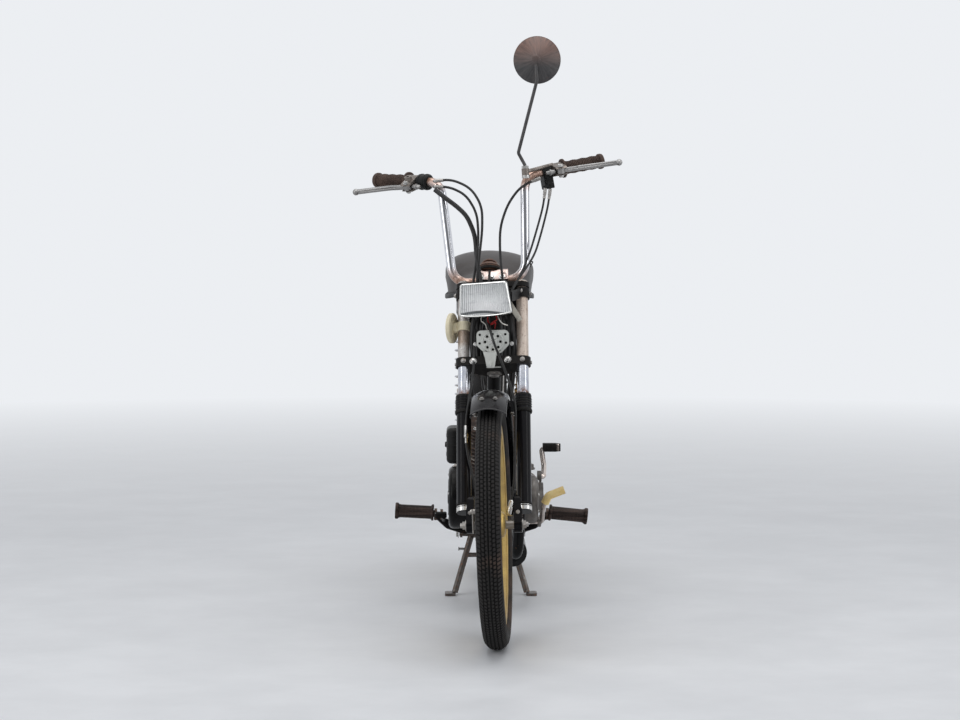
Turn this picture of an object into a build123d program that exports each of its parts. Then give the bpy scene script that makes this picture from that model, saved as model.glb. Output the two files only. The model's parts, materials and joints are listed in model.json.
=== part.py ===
from build123d import *
import os
from math import cos, pi, radians, sin, sqrt, tan

# A 50 cc geared moped of about 1980, standing on its centre stand with the front wheel on the floor.
# Millimetres.  +X is the rider's left, +Y the rear, +Z up, and the origin is on the floor below
# the middle of the vehicle's box.  Every piece is drawn about the wheels' own plane, and what steers
# is drawn pointing straight ahead; both are set right when a piece is stored.

# ---- driving dimensions -------------------------------------------------------------------

# wheels
wheel_radius = 285.5            # 2 1/4 - 18 tyre
tyre_width = 57.0
rim_radius = 238.0              # over the flanges
rim_width = 38.0
rim_wall = 3.0
axle_diameter = 12.0
axle_clearance = 0.3
spoke_count = 6
front_axle_y = -595.0
wheelbase = 1160.0
rear_lift = 12.0                # how far the stand holds the rear tyre off the floor
front_guard_gap = 25.5          # from the tyre to the outside of the mudguard
rear_guard_gap = 23.5
guard_sheet = 2.0

# steering
rake = 26.0                     # degrees from upright
trail = 95.0
park_angle = 4.0                # towards the rider's right
middle_shift = 12.0             # from the middle of the box to the wheels' plane
bar_twist = 6.8                 # the handlebar has slipped round in its clamp
bar_slip = -9.0                 # and a little sideways
lamp_twist = 6.0                # and so has the headlamp
lower_yoke_height = 690.0       # heights along the steering axis
lower_yoke_thickness = 20.0
top_yoke_height = 890.0
top_yoke_thickness = 12.0
head_tube_diameter = 42.0
head_tube_gap = 6.0             # from the yokes to the head tube's ends
stem_diameter = 24.0
bearing_clearance = 1.0

# fork
stanchion_diameter = 28.0
stanchion_spacing = 139.0
slider_diameter = 34.0
slider_top = 576.0
slider_bottom = 328.0
boot_length = 40.0
boot_wall = 2.5
lug_inner = 46.0
lug_thickness = 18.0

# handlebar
bar_diameter = 22.0
bar_centre_back = -25.0
bar_seat = 13.0                 # from the top yoke's face to the bar's centre
bar_cap = 28.0                  # from there to the top of its clamp
bar_lean = 6.0                  # degrees back from upright
bar_foot_width = 88.0
bar_top_width = 102.0
bar_top_rise = 248.0
grip_end_width = 276.0
grip_sweep = 30.0               # degrees back from straight out
grip_rise = 20.0
bar_bend = 42.0
grip_length = 104.0
grip_diameter = 32.0
grip_flange = 23.0              # radius of the disc at its inner end
perch_length = 28.0
lever_ahead = 30.0              # from the grip's line to the lever's pivot
lever_reach = 138.0             # from the pivot out to the ball
lever_flare = 36.0              # how far the lever leaves the grip by then
lever_turn_left = 8.0           # degrees that the levers hang below the level
lever_turn_right = 24.0
mirror_thread = 8.0

# frame
frame_tube = 36.0
down_tube = 32.0
loop_tube = 20.0
stay_tube = 18.0
plate_thickness = 6.0
plate_inner = 34.0
pivot_y = 195.0
pivot_z = 285.0
seat_loop_half = 80.0

# swinging arm
arm_tube = 24.0
arm_half = 74.0
eye_width = 21.0

# stand
stand_pivot_y = 235.0
stand_pivot_z = 156.0
stand_tube = 20.0
stand_leg = 16.0
stand_foot_y = 201.0
stand_foot_half = 106.0
stand_bolt_half = 82.0
stand_clearance = 0.3
stand_hip_half = 50.0

# engine
crank_y = -70.0
crank_z = 288.0
case_right = -42.0
case_left = 66.0
cover_right = -109.0
cover_left = 115.0
cylinder_lean = 20.0            # degrees forward from upright
output_y = 85.0
output_z = 272.0

# chain
chain_x = -52.0
chain_width = 9.0
chain_depth = 9.0
drive_radius = 27.0
driven_radius = 74.0
chain_gap = 1.0

# pegs
peg_y = 100.0
peg_z = 229.0
peg_bar = 16.0
peg_inner = 148.0
peg_length = 92.0
peg_bends = (-6.0, 3.0)         # the left one droops and the right one is bent up

# seat
seat_low = 766.0                # the lowest point of its skirt
seat_pad_gap = 8.0              # from the rails up to the seat

# ---- worked out from them -----------------------------------------------------------------

rear_axle_y = front_axle_y + wheelbase
rear_axle_z = wheel_radius + rear_lift
front_axle = Vector(0, front_axle_y, wheel_radius)
rear_axle = Vector(0, rear_axle_y, rear_axle_z)

steer_base_y = front_axle_y - trail
steer_direction = Vector(0, sin(radians(rake)), cos(radians(rake)))
steer_plane = Plane(origin=(0, steer_base_y, 0), x_dir=(1, 0, 0), z_dir=steer_direction)
steer_axis = Axis((0, steer_base_y, 0), steer_direction)
fork_offset = wheel_radius * sin(radians(rake)) - trail * cos(radians(rake))
axle_height = trail * sin(radians(rake)) + wheel_radius * cos(radians(rake))
stanchion_half = stanchion_spacing / 2
head_tube_low = lower_yoke_height + lower_yoke_thickness + head_tube_gap
head_tube_high = top_yoke_height - head_tube_gap
bar_centre_height = top_yoke_height + top_yoke_thickness + bar_seat
front_guard_radius = wheel_radius + front_guard_gap
rear_guard_radius = wheel_radius + rear_guard_gap


def steer(x, y, height):
    """A point given along the steering axis: x across, y behind the axis, height up it."""
    return Vector(steer_plane.from_local_coords((x, y, height)))


def swing(point, angle):
    """A point turned about the steering axis."""
    local = steer_plane.to_local_coords(Vector(point))
    return Vector(steer_plane.from_local_coords(local.rotate(Axis.Z, angle)))


bar_centre = steer(0, bar_centre_back, bar_centre_height)
bar_axis = Axis(bar_centre, steer_direction)


def axle_section(centre):
    """The upright plane through an axle's line: x along the axle, y up."""
    return Plane(origin=centre, x_dir=(1, 0, 0), z_dir=(0, -1, 0))


def side_view(centre, x=0.0):
    """The plane of a side view, a distance x across: x back and y up from the centre."""
    return Plane(origin=(x, centre.Y, centre.Z), x_dir=(0, 1, 0), z_dir=(1, 0, 0))


pieces = {}


def slipped(shape):
    """A piece of the handlebar where it has slipped to in its clamp."""
    return shape.moved(Location((bar_slip, 0, 0))).rotate(bar_axis, -bar_twist)


def keep(name, piece, body="frame"):
    """Notes a finished piece.  What steers is turned to its parked angle here."""
    shape = piece.part
    if body == "bar":
        shape = slipped(shape)
    if body == "lamp":
        shape = shape.rotate(steer_axis, -lamp_twist)
    if body in ("bar", "lamp", "fork"):
        shape = shape.rotate(steer_axis, -park_angle)
    shape = shape.moved(Location((middle_shift, 0, 0)))
    shape.label = name
    pieces[name] = shape


def rod(points, diameter, bend=0.0, bore=0.0):
    """A round tube or rod through the points, bent to the given radius at each corner."""
    with BuildPart() as made:
        with BuildLine() as path:
            if len(points) > 2:
                FilletPolyline(*points, radius=bend)
            else:
                Line(*points)
        with BuildSketch(Plane(origin=path.line @ 0, z_dir=path.line % 0)):
            Circle(diameter / 2)
            if bore:
                Circle(bore / 2, mode=Mode.SUBTRACT)
        sweep(path=path.line)
    return made.part


def mirrored(points):
    """The same route on the other side of the vehicle."""
    return [(-x, y, z) for x, y, z in points]


# ---- wheels -------------------------------------------------------------------------------

bead_radius = rim_radius - 7
bead_half = rim_width / 2 - rim_wall - 0.2


def tyre(centre):
    """A treadless ring: beads between the rim's flanges, bulging walls and a low crown."""
    with BuildPart() as made:
        with BuildSketch(axle_section(centre)):
            with BuildLine():
                wall_half = tyre_width / 2
                lip_radius = rim_radius + 1.5
                tyre_height = wheel_radius - lip_radius
                Polyline(
                    (0, bead_radius + 0.2), (bead_half, bead_radius + 0.2), (bead_half, lip_radius),
                    (wall_half * 0.96, lip_radius + tyre_height * 0.28),
                    (wall_half * 0.86, wheel_radius - tyre_height * 0.22),
                    (wall_half * 0.37, wheel_radius), (0, wheel_radius),
                )
                mirror(about=Plane.YZ)
            make_face()
        revolve(axis=Axis(centre, (1, 0, 0)))
    return made


def rim_ring(centre):
    """The rim's section, flanges, well and inner rib, turned about the axle."""
    with BuildPart() as made:
        with BuildSketch(axle_section(centre)):
            with BuildLine():
                half = rim_width / 2
                Polyline(
                    (0, rim_radius - 32), (8, rim_radius - 32), (half, rim_radius - 17),
                    (half, rim_radius), (half - rim_wall, rim_radius),
                    (half - rim_wall, bead_radius), (0, bead_radius),
                )
                mirror(about=Plane.YZ)
            make_face()
        revolve(axis=Axis(centre, (1, 0, 0)))
    return made.part


def turned(centre, profile):
    """A solid of revolution about an axle, from (x, radius) points."""
    with BuildPart() as made:
        with BuildSketch(axle_section(centre)):
            with BuildLine():
                Polyline(*profile, close=True)
            make_face()
        revolve(axis=Axis(centre, (1, 0, 0)))
    return made.part


def spokes(centre, inner, outer):
    """Cast spokes that taper from the hub to the rim."""
    with BuildPart() as made:
        with BuildSketch(side_view(centre)):
            with PolarLocations(0, spoke_count, start_angle=90):
                with Locations(((inner + outer) / 2, 0)):
                    Trapezoid(34, outer - inner, 87, rotation=-90)
        extrude(amount=7, both=True)
    return made.part


axle_bore = axle_diameter / 2 + axle_clearance
drum_radius = 62.0
drum_wall = 7.0
hub_radius = 34.0
spoke_root = hub_radius - 8
spoke_tip = rim_radius - 28

front_hub = [
    (-20, axle_bore), (26, axle_bore), (26, 22), (22, 28), (10, hub_radius), (-6, hub_radius),
    (-8, drum_radius), (-36, drum_radius), (-36, drum_radius - drum_wall),
    (-14, drum_radius - drum_wall), (-14, 20), (-20, 20),
]

front_tyre = tyre(front_axle)
keep("front_tyre", front_tyre, "fork")

with BuildPart() as front_rim:
    add(rim_ring(front_axle))
    add(spokes(front_axle, spoke_root, spoke_tip))
    add(turned(front_axle, front_hub))
    add(turned(front_axle, [(-13.9, 0), (-30, 0), (-30, drum_radius - drum_wall),
                            (-13.9, drum_radius - drum_wall)]), mode=Mode.SUBTRACT)
    add(turned(front_axle, [(-30, 0), (30, 0), (30, axle_bore), (-30, axle_bore)]),
        mode=Mode.SUBTRACT)
keep("front_rim", front_rim, "fork")

rear_tyre = tyre(rear_axle)
keep("rear_tyre", rear_tyre)

rear_hub = [
    (20, axle_bore), (-30, axle_bore), (-30, 24), (-26, hub_radius), (6, hub_radius),
    (8, drum_radius), (38, drum_radius), (38, drum_radius - drum_wall),
    (14, drum_radius - drum_wall), (14, 20), (20, 20),
]
sprocket_seat = -48.0
with BuildPart() as rear_rim:
    add(rim_ring(rear_axle))
    add(spokes(rear_axle, spoke_root, spoke_tip))
    add(turned(rear_axle, rear_hub))
    add(turned(rear_axle, [(sprocket_seat, axle_bore), (-29, axle_bore), (-29, 36),
                           (sprocket_seat, 36)]))
    add(turned(rear_axle, [(13.9, 0), (32, 0), (32, drum_radius - drum_wall),
                           (13.9, drum_radius - drum_wall)]), mode=Mode.SUBTRACT)
    add(turned(rear_axle, [(-60, 0), (40, 0), (40, axle_bore), (-60, axle_bore)]),
        mode=Mode.SUBTRACT)
keep("rear_rim", rear_rim)

with BuildPart() as rear_sprocket:
    with BuildSketch(side_view(rear_axle, sprocket_seat - 4)):
        Circle(driven_radius)
        Circle(24, mode=Mode.SUBTRACT)
        with PolarLocations(52, 6):
            Circle(9, mode=Mode.SUBTRACT)
    extrude(amount=4)
keep("rear_sprocket", rear_sprocket)

# ---- axles and brake plates ---------------------------------------------------------------

lug_outer = lug_inner + lug_thickness
nut_length = 9.0
nut_radius = 10.0


def axle(centre, half, spacer_left, spacer_right, seat):
    """A spindle with a nut at each end and a spacer each side of the hub."""
    with BuildPart() as made:
        add(turned(centre, [(-half, 0), (half, 0), (half, axle_diameter / 2),
                            (-half, axle_diameter / 2)]))
        for side, start in ((1, spacer_left), (-1, spacer_right)):
            add(turned(centre, [(side * start, 0), (side * seat, 0), (side * seat, nut_radius),
                                (side * start, nut_radius)]))
        for side in (1, -1):
            with BuildSketch(side_view(centre, side * half - nut_length / 2)):
                RegularPolygon(nut_radius, 6)
            extrude(amount=nut_length)
    return made


front_axle_half = lug_outer + nut_length / 2
front_spindle = axle(front_axle, front_axle_half, 26.5, 43.0, lug_inner)
keep("front_axle", front_spindle, "fork")


def brake_plate(centre, side, inner, outer, spindle):
    """A drum's closing plate with its cam lever."""
    with BuildPart() as made:
        add(turned(centre, [(side * inner, 0), (side * outer, 0), (side * outer, 22),
                            (side * (outer - 5), 30), (side * (outer - 5), drum_radius - drum_wall - 2),
                            (side * inner, drum_radius - drum_wall - 2)]))
        add(spindle.part, mode=Mode.SUBTRACT)
    return made


front_brake_plate = brake_plate(front_axle, -1, 22.0, 43.0, front_spindle)
keep("front_brake_plate", front_brake_plate, "fork")

arm_outer = arm_half + arm_tube / 2
rear_spindle = axle(rear_axle, arm_outer + nut_length / 2, 46.5, 52.5, arm_half - eye_width / 2)
keep("rear_axle", rear_spindle)
rear_brake_plate = brake_plate(rear_axle, 1, 24.0, 46.5, rear_spindle)
keep("rear_brake_plate", rear_brake_plate)

# ---- fork ---------------------------------------------------------------------------------

slider_bore_depth = 40.0

with BuildPart() as fork_legs:
    with BuildSketch(steer_plane.offset(slider_bottom)):
        with Locations((-stanchion_half, -fork_offset), (stanchion_half, -fork_offset)):
            Circle(slider_diameter / 2)
    extrude(amount=slider_top - slider_bottom)
    low = steer(0, -fork_offset, axle_height)
    high = steer(0, -fork_offset, slider_bottom + 26)
    for inner in (lug_inner, -lug_outer):
        with BuildSketch(Plane.YZ.offset(inner)):
            with Locations((low.Y, low.Z)):
                Circle(19)
            with Locations((high.Y, high.Z)):
                Circle(15)
            make_hull()
        extrude(amount=lug_thickness)
    # the dust boots at their tops
    with BuildSketch(steer_plane.offset(slider_top)):
        with Locations((-stanchion_half, -fork_offset), (stanchion_half, -fork_offset)):
            Circle(slider_diameter / 2 + boot_wall)
    extrude(amount=boot_length)
    chamfer(fork_legs.faces().sort_by(steer_axis)[-2:].edges(), 3)
    with BuildSketch(steer_plane.offset(slider_top - slider_bore_depth)):
        with Locations((-stanchion_half, -fork_offset), (stanchion_half, -fork_offset)):
            Circle(stanchion_diameter / 2)
    extrude(amount=slider_bore_depth + boot_length, mode=Mode.SUBTRACT)
    add(front_spindle.part, mode=Mode.SUBTRACT)
keep("fork_legs", fork_legs, "fork")

with BuildPart() as stanchions:
    with BuildSketch(steer_plane.offset(slider_top - slider_bore_depth)):
        with Locations((-stanchion_half, -fork_offset), (stanchion_half, -fork_offset)):
            Circle(stanchion_diameter / 2)
    extrude(amount=top_yoke_height + top_yoke_thickness + 4 - slider_top + slider_bore_depth)
keep("stanchions", stanchions, "fork")


def yoke_outline(clamp_radius, centre_radius):
    """The outline that runs round both stanchions and the steering stem."""
    with BuildSketch() as outline:
        with Locations((-stanchion_half, -fork_offset), (stanchion_half, -fork_offset)):
            Circle(clamp_radius)
        Circle(centre_radius)
        make_hull()
    return outline.sketch


with BuildPart() as lower_yoke:
    with BuildSketch(steer_plane.offset(lower_yoke_height)):
        add(yoke_outline(19, 25))
    extrude(amount=lower_yoke_thickness)
    with BuildSketch(steer_plane.offset(lower_yoke_height)):
        Circle(stem_diameter / 2)
    extrude(amount=top_yoke_height - lower_yoke_height)
    add(stanchions.part, mode=Mode.SUBTRACT)
keep("lower_yoke", lower_yoke, "fork")

# ---- handlebar and what it carries --------------------------------------------------------


def bar_point(x, rise, back=0.0):
    """A point on the leaning plane of the handlebar, measured from the clamp."""
    return (x, bar_centre.Y + rise * tan(radians(bar_lean)) + back, bar_centre.Z + rise)


bar_foot = bar_point(bar_foot_width, 3)
bar_top = bar_point(bar_top_width, bar_top_rise)
sweep_back = (grip_end_width - bar_top_width) * tan(radians(grip_sweep))
grip_end = (grip_end_width, bar_top[1] + sweep_back, bar_top[2] + grip_rise)

half_route = [bar_foot, bar_top, grip_end]
bar_route = mirrored(half_route[::-1]) + half_route
with BuildPart() as handlebar:
    add(rod(bar_route, bar_diameter, bar_bend))
keep("handlebar", handlebar, "bar")

clamp_base = top_yoke_height + top_yoke_thickness
clamp_top = bar_centre_height + bar_cap
clamp_width = 70.0
clamp_depth = 36.0
with BuildPart() as top_yoke:
    with BuildSketch(steer_plane.offset(top_yoke_height)):
        add(yoke_outline(18, 24))
    extrude(amount=top_yoke_thickness)
    add(stanchions.part, mode=Mode.SUBTRACT)
    with BuildSketch(steer_plane.offset(clamp_base)):
        with Locations((0, bar_centre_back)):
            Rectangle(clamp_width, clamp_depth)
    extrude(amount=clamp_top - clamp_base)
    fillet(top_yoke.edges().filter_by(Axis.X).sort_by(Axis.Z)[-2:], clamp_depth * 0.25)
    add(slipped(handlebar.part), mode=Mode.SUBTRACT)
keep("top_yoke", top_yoke, "fork")

grip_direction = (Vector(*grip_end) - Vector(*bar_top)).normalized()


def grip_place(side, distance):
    """A point on the grip's line, a distance in from the bar's end, on one side."""
    place = Vector(*grip_end) - grip_direction * distance
    return Vector(side * place.X, place.Y, place.Z)


def grip_plane(side, distance):
    """The plane square to the grip there, with its normal pointing outwards."""
    normal = Vector(side * grip_direction.X, grip_direction.Y, grip_direction.Z)
    return Plane(origin=grip_place(side, distance), x_dir=(0, 0, 1), z_dir=normal)


with BuildPart() as grips:
    with BuildSketch(grip_plane(1, grip_length)):
        Circle(grip_diameter / 2)
    extrude(amount=grip_length + 4)
    with BuildSketch(grip_plane(1, grip_length)):
        Circle(grip_flange)
    extrude(amount=6)
    with BuildSketch(grip_plane(1, 6)):
        Circle(grip_diameter / 2 + 2.5)
    extrude(amount=10)
    add(handlebar.part, mode=Mode.SUBTRACT)
    mirror(about=Plane.YZ)
keep("grips", grips, "bar")

perch_gap = 2.0
perch_middle = grip_length + perch_gap + perch_length / 2
lever_height = 12.0
lever_depth = 8.0
lever_eye = 11.0
lever_ball = 8.0
slot_clearance = 0.5


def perch_frame(turn):
    """A left perch's own axes: x out along the grip, y back and z up, dipped by an angle."""
    upright = Vector(0, 0, 1) - grip_direction * grip_direction.Z
    return Plane(origin=grip_place(1, perch_middle), x_dir=grip_direction,
                 z_dir=upright.rotate(Axis((0, 0, 0), grip_direction), turn))


def perch(turn):
    """A clamp round the bar that runs forward to the slotted ears of the lever's pivot."""
    frame = perch_frame(turn)
    across = Plane(origin=frame.origin, x_dir=frame.y_dir, z_dir=frame.x_dir)
    with BuildPart() as made:
        with BuildSketch(across.offset(-perch_length / 2)):
            Circle(bar_diameter / 2 + 5)
            with Locations((-lever_ahead, 0)):
                Circle(lever_eye)
            make_hull()
        extrude(amount=perch_length)
        with BuildSketch(frame.offset(-lever_height / 2 - slot_clearance)):
            with Locations((perch_length / 2, -lever_ahead)):
                Rectangle(2 * perch_length + 2, 2 * lever_eye + 4)
        extrude(amount=lever_height + 2 * slot_clearance, mode=Mode.SUBTRACT)
        add(handlebar.part, mode=Mode.SUBTRACT)
    return made.part


def lever(turn):
    """A lever blade with an eye in its perch and a ball at its tip."""
    frame = perch_frame(turn)
    with BuildPart() as made:
        with BuildLine(frame) as path:
            FilletPolyline((0, -lever_ahead), (lever_reach * 0.36, -lever_ahead - lever_flare * 0.2),
                           (lever_reach, -lever_ahead - lever_flare), radius=90)
        start = path.line
        with BuildSketch(Plane(origin=start @ 0, x_dir=frame.z_dir, z_dir=start % 0)):
            Rectangle(lever_height, lever_depth)
        sweep(path=start)
        fillet(made.edges().filter_by(Axis(start @ 0, start % 0), reverse=True)
               .filter_by(lambda edge: edge.length > lever_reach * 0.3), 2.5)
        with BuildSketch(frame.offset(-lever_height / 2)):
            with Locations((0, -lever_ahead)):
                Circle(lever_eye - 1)
        extrude(amount=lever_height)
        with Locations(start @ 1):
            Sphere(lever_ball)
    return made.part


# the mirror screws into the end of an arm that runs inwards from the left perch
mirror_boss = Vector(*bar_top) + Vector(6, -22, 8)
mirror_boss_radius = 9.0
mirror_boss_height = 16.0
with BuildPart() as right_perch:
    add(perch(lever_turn_right))
    # the empty hole for a second mirror
    with BuildSketch(perch_frame(lever_turn_right).offset(lever_height / 2 + 1)):
        with Locations((0, -lever_ahead + lever_eye)):
            Circle(mirror_boss_radius)
    extrude(amount=mirror_boss_height)
    with BuildSketch(perch_frame(lever_turn_right).offset(lever_height / 2 + 1)):
        with Locations((0, -lever_ahead + lever_eye)):
            Circle(mirror_thread / 2)
    extrude(amount=mirror_boss_height, mode=Mode.SUBTRACT)

with BuildPart() as lever_perches:
    add(perch(lever_turn_left))
    arm_root = grip_place(1, perch_middle + 6) + Vector(0, -8, bar_diameter / 2 + 2)
    add(rod([arm_root, mirror_boss], 9))
    with BuildSketch(Plane(origin=mirror_boss - Vector(0, 0, mirror_boss_height / 2))):
        Circle(mirror_boss_radius)
    extrude(amount=mirror_boss_height)
    with BuildSketch(Plane(origin=mirror_boss - Vector(0, 0, mirror_boss_height / 2))):
        Circle(mirror_thread / 2)
    extrude(amount=mirror_boss_height, mode=Mode.SUBTRACT)
    add(handlebar.part, mode=Mode.SUBTRACT)
    add(mirror(right_perch.part, about=Plane.YZ, mode=Mode.PRIVATE))
keep("lever_perches", lever_perches, "bar")

with BuildPart() as levers:
    add(lever(lever_turn_left))
    add(mirror(lever(lever_turn_right), about=Plane.YZ, mode=Mode.PRIVATE))
keep("levers", levers, "bar")

switch_length = 24.0
switch_drop = 42.0
switch_depth = 24.0
throttle_length = 32.0
throttle_radius = 19.0
housing_start = grip_length + perch_gap + perch_length + 1
with BuildPart() as bar_housings:
    # the switch block hangs below the bar on the left
    with BuildSketch(grip_plane(1, housing_start + switch_length)):
        Circle(bar_diameter / 2 + 4)
        with Locations((-switch_drop / 2, 0)):
            RectangleRounded(switch_drop, switch_depth, 4)
    extrude(amount=switch_length)
    # the throttle's drum sits round it on the right
    with BuildSketch(grip_plane(-1, housing_start + throttle_length)):
        Circle(throttle_radius)
    extrude(amount=throttle_length)
    chamfer(bar_housings.edges().filter_by(GeomType.CIRCLE).filter_by(
        lambda edge: abs(edge.radius - throttle_radius) < 0.01), 3)
    add(handlebar.part, mode=Mode.SUBTRACT)
    add(lever_perches.part, mode=Mode.SUBTRACT)
keep("bar_housings", bar_housings, "bar")

# ---- instruments, lamp and horn -----------------------------------------------------------

speedo_radius = 27.0
speedo_height = 22.0
with BuildPart() as speedometer:
    speedo_base = Plane(origin=steer(0, bar_centre_back, clamp_top), x_dir=(1, 0, 0),
                        z_dir=steer_plane.y_dir)
    with BuildSketch(speedo_base):
        with BuildLine():
            Polyline((0, -speedo_height), (0, 0), (speedo_radius - 3, 0), (speedo_radius, -4),
                     (speedo_radius, -speedo_height * 0.45),
                     (speedo_radius * 0.88, -speedo_height * 0.74),
                     (speedo_radius * 0.6, -speedo_height * 0.93), close=True)
        make_face()
    revolve(axis=Axis(speedo_base.origin, steer_direction))
keep("speedometer", speedometer, "bar")

lamp_centre_z = top_yoke_height * cos(radians(rake))
lamp_face_y = -460.0
lamp_depth = 66.0
lamp_top_width = 111.0
lamp_bottom_width = 127.0
lamp_height = 77.0
lens_depth = 7.0


def lamp_outline(inset):
    """The headlamp's trapezoid with round corners, wider at the bottom."""
    with BuildSketch() as outline:
        half_top = lamp_top_width / 2 - inset
        half_bottom = lamp_bottom_width / 2 - inset
        half_height = lamp_height / 2 - inset
        with BuildLine():
            Polyline((-half_bottom, -half_height), (-half_top, half_height),
                     (half_top, half_height), (half_bottom, -half_height))
            ThreePointArc((half_bottom, -half_height), (0, -half_height - 4),
                          (-half_bottom, -half_height))
        make_face()
        fillet(outline.vertices(), 7)
    return outline.sketch


lamp_plane = Plane(origin=(0, lamp_face_y + lens_depth, lamp_centre_z), x_dir=(1, 0, 0),
                   z_dir=(0, -1, 0))
with BuildPart() as headlamp_shell:
    with BuildSketch(lamp_plane):
        add(lamp_outline(0))
    with BuildSketch(lamp_plane.offset(-lamp_depth * 0.6)):
        add(lamp_outline(4))
    with BuildSketch(lamp_plane.offset(-lamp_depth)):
        add(lamp_outline(16))
    loft(ruled=True)
keep("headlamp_shell", headlamp_shell, "lamp")

with BuildPart() as headlamp_lens:
    with BuildSketch(lamp_plane):
        add(lamp_outline(3))
    extrude(amount=lens_depth, taper=20)
keep("headlamp_lens", headlamp_lens, "lamp")

bracket_width = 24.0
bracket_height = top_yoke_height - bracket_width - 3
with BuildPart() as headlamp_bracket:
    with BuildSketch(steer_plane.offset(bracket_height)):
        with Locations((-stanchion_half, -fork_offset), (stanchion_half, -fork_offset)):
            Circle(stanchion_diameter / 2 + 4)
    extrude(amount=bracket_width)
    for side in (1, -1):
        ring = steer(side * stanchion_half, -fork_offset - 10, bracket_height + bracket_width / 2)
        lamp_side = Vector(side * (lamp_top_width / 2 + 4), lamp_face_y + 36, lamp_centre_z)
        lamp_side = swing(lamp_side, -lamp_twist)
        across = Vector(ring.X - lamp_side.X, ring.Y - lamp_side.Y, ring.Z - lamp_side.Z)
        with BuildSketch(Plane(origin=lamp_side, x_dir=(1, 0, 0), z_dir=across)):
            Rectangle(3, bracket_width)
        extrude(amount=across.length)
    add(stanchions.part, mode=Mode.SUBTRACT)
    add(headlamp_shell.part.rotate(steer_axis, -lamp_twist), mode=Mode.SUBTRACT)
keep("headlamp_bracket", headlamp_bracket, "fork")

horn_x = 1.0
horn_width = 76.0
horn_height = 54.0
horn_back = -fork_offset - 24
# it hangs below the lamp, a share of the room down to the lower yoke
lamp_low_z = lamp_centre_z - lamp_height / 2 - 4
horn_room = lamp_low_z - lower_yoke_height * cos(radians(rake))
horn_z = lamp_low_z - horn_height / 2 - 0.24 * horn_room
horn_centre = steer(horn_x, horn_back, (horn_z + horn_back * sin(radians(rake))) / cos(radians(rake)))
horn_depth = 22.0
horn_boss = 26.0
horn_plane = Plane(origin=horn_centre, x_dir=(1, 0, 0), z_dir=(0, -1, 0))
with BuildPart() as horn:
    with BuildSketch(horn_plane) as horn_face:
        with BuildLine():
            half = horn_width / 2
            top = horn_height / 2
            Polyline((-half, top), (half, top), (half, -top * 0.3), (half * 0.5, -top),
                     (-half * 0.5, -top), (-half, -top * 0.3), close=True)
        make_face()
        fillet(horn_face.vertices(), 11)
    extrude(amount=horn_depth - 8)
    with BuildSketch(horn_plane.offset(horn_depth - 8)):
        Circle(horn_boss)
        with PolarLocations(horn_boss - 8, 8):
            Circle(2.6, mode=Mode.SUBTRACT)
        with PolarLocations(8, 4):
            Circle(2.6, mode=Mode.SUBTRACT)
    extrude(amount=5, taper=18)
    with BuildSketch(Plane(origin=horn_centre - Vector(0, 0, top + 14), x_dir=(1, 0, 0),
                           z_dir=(0, -1, 0))):
        Trapezoid(34, 42, 97, rotation=180)
    extrude(amount=4)
    add(lower_yoke.part, mode=Mode.SUBTRACT)
keep("horn", horn, "fork")

disc_radius = 35.0
disc_thickness = 9.0
disc_out = 14.0                 # from the stanchion's skin to the disc
disc_height = lower_yoke_height + 0.51 * (top_yoke_height - lower_yoke_height)
disc_turn = 14.0
with BuildPart() as disc_holder:
    disc_middle = steer(-stanchion_half - stanchion_diameter / 2 - disc_out, -fork_offset, disc_height)
    disc_normal = Vector(cos(radians(disc_turn)), -sin(radians(disc_turn)), 0)
    with BuildSketch(Plane(origin=disc_middle, z_dir=disc_normal)):
        Circle(disc_radius)
    extrude(amount=disc_thickness / 2, both=True)
    with BuildSketch(steer_plane.offset(disc_height - 11)):
        with Locations((-stanchion_half, -fork_offset)):
            Circle(stanchion_diameter / 2 + 3)
        with Locations((-stanchion_half - stanchion_diameter / 2 - disc_out / 2, -fork_offset)):
            Rectangle(disc_out, 12)
    extrude(amount=22)
    add(stanchions.part, mode=Mode.SUBTRACT)
keep("disc_holder", disc_holder, "fork")

mirror_radius = 56.5
mirror_centre = mirror_boss + Vector(48, 8, 262)
mirror_depth = 30.0
mirror_stem = 8.0
with BuildPart() as mirror_head:
    mirror_plane = Plane(origin=mirror_centre, x_dir=(1, 0, 0), z_dir=(0, 1, 0))
    with BuildSketch(mirror_plane):
        Circle(mirror_radius)
    with BuildSketch(mirror_plane.offset(-mirror_depth * 0.55)):
        Circle(mirror_radius * 0.62)
    with BuildSketch(mirror_plane.offset(-mirror_depth)):
        Circle(11)
    loft()
    with BuildSketch(mirror_plane):
        Circle(mirror_radius)
    extrude(amount=5)

stem_route = [mirror_boss + Vector(0, 0, -mirror_boss_height / 2),
              mirror_boss + Vector(0, 0, mirror_boss_height / 2 + 8), mirror_boss + Vector(-13, -4, 46),
              mirror_centre + Vector(1, -mirror_depth - 2, -48),
              mirror_centre + Vector(0, -mirror_depth + 3, 0)]
with BuildPart() as mirror_arm:
    add(rod(stem_route, mirror_stem, [10, 10, 30]))
    add(mirror_head.part)
    add(handlebar.part, mode=Mode.SUBTRACT)
keep("mirror", mirror_arm, "bar")

# ---- mudguards ----------------------------------------------------------------------------

guard_crown = 14.0              # how far a guard's middle stands above its edges


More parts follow.
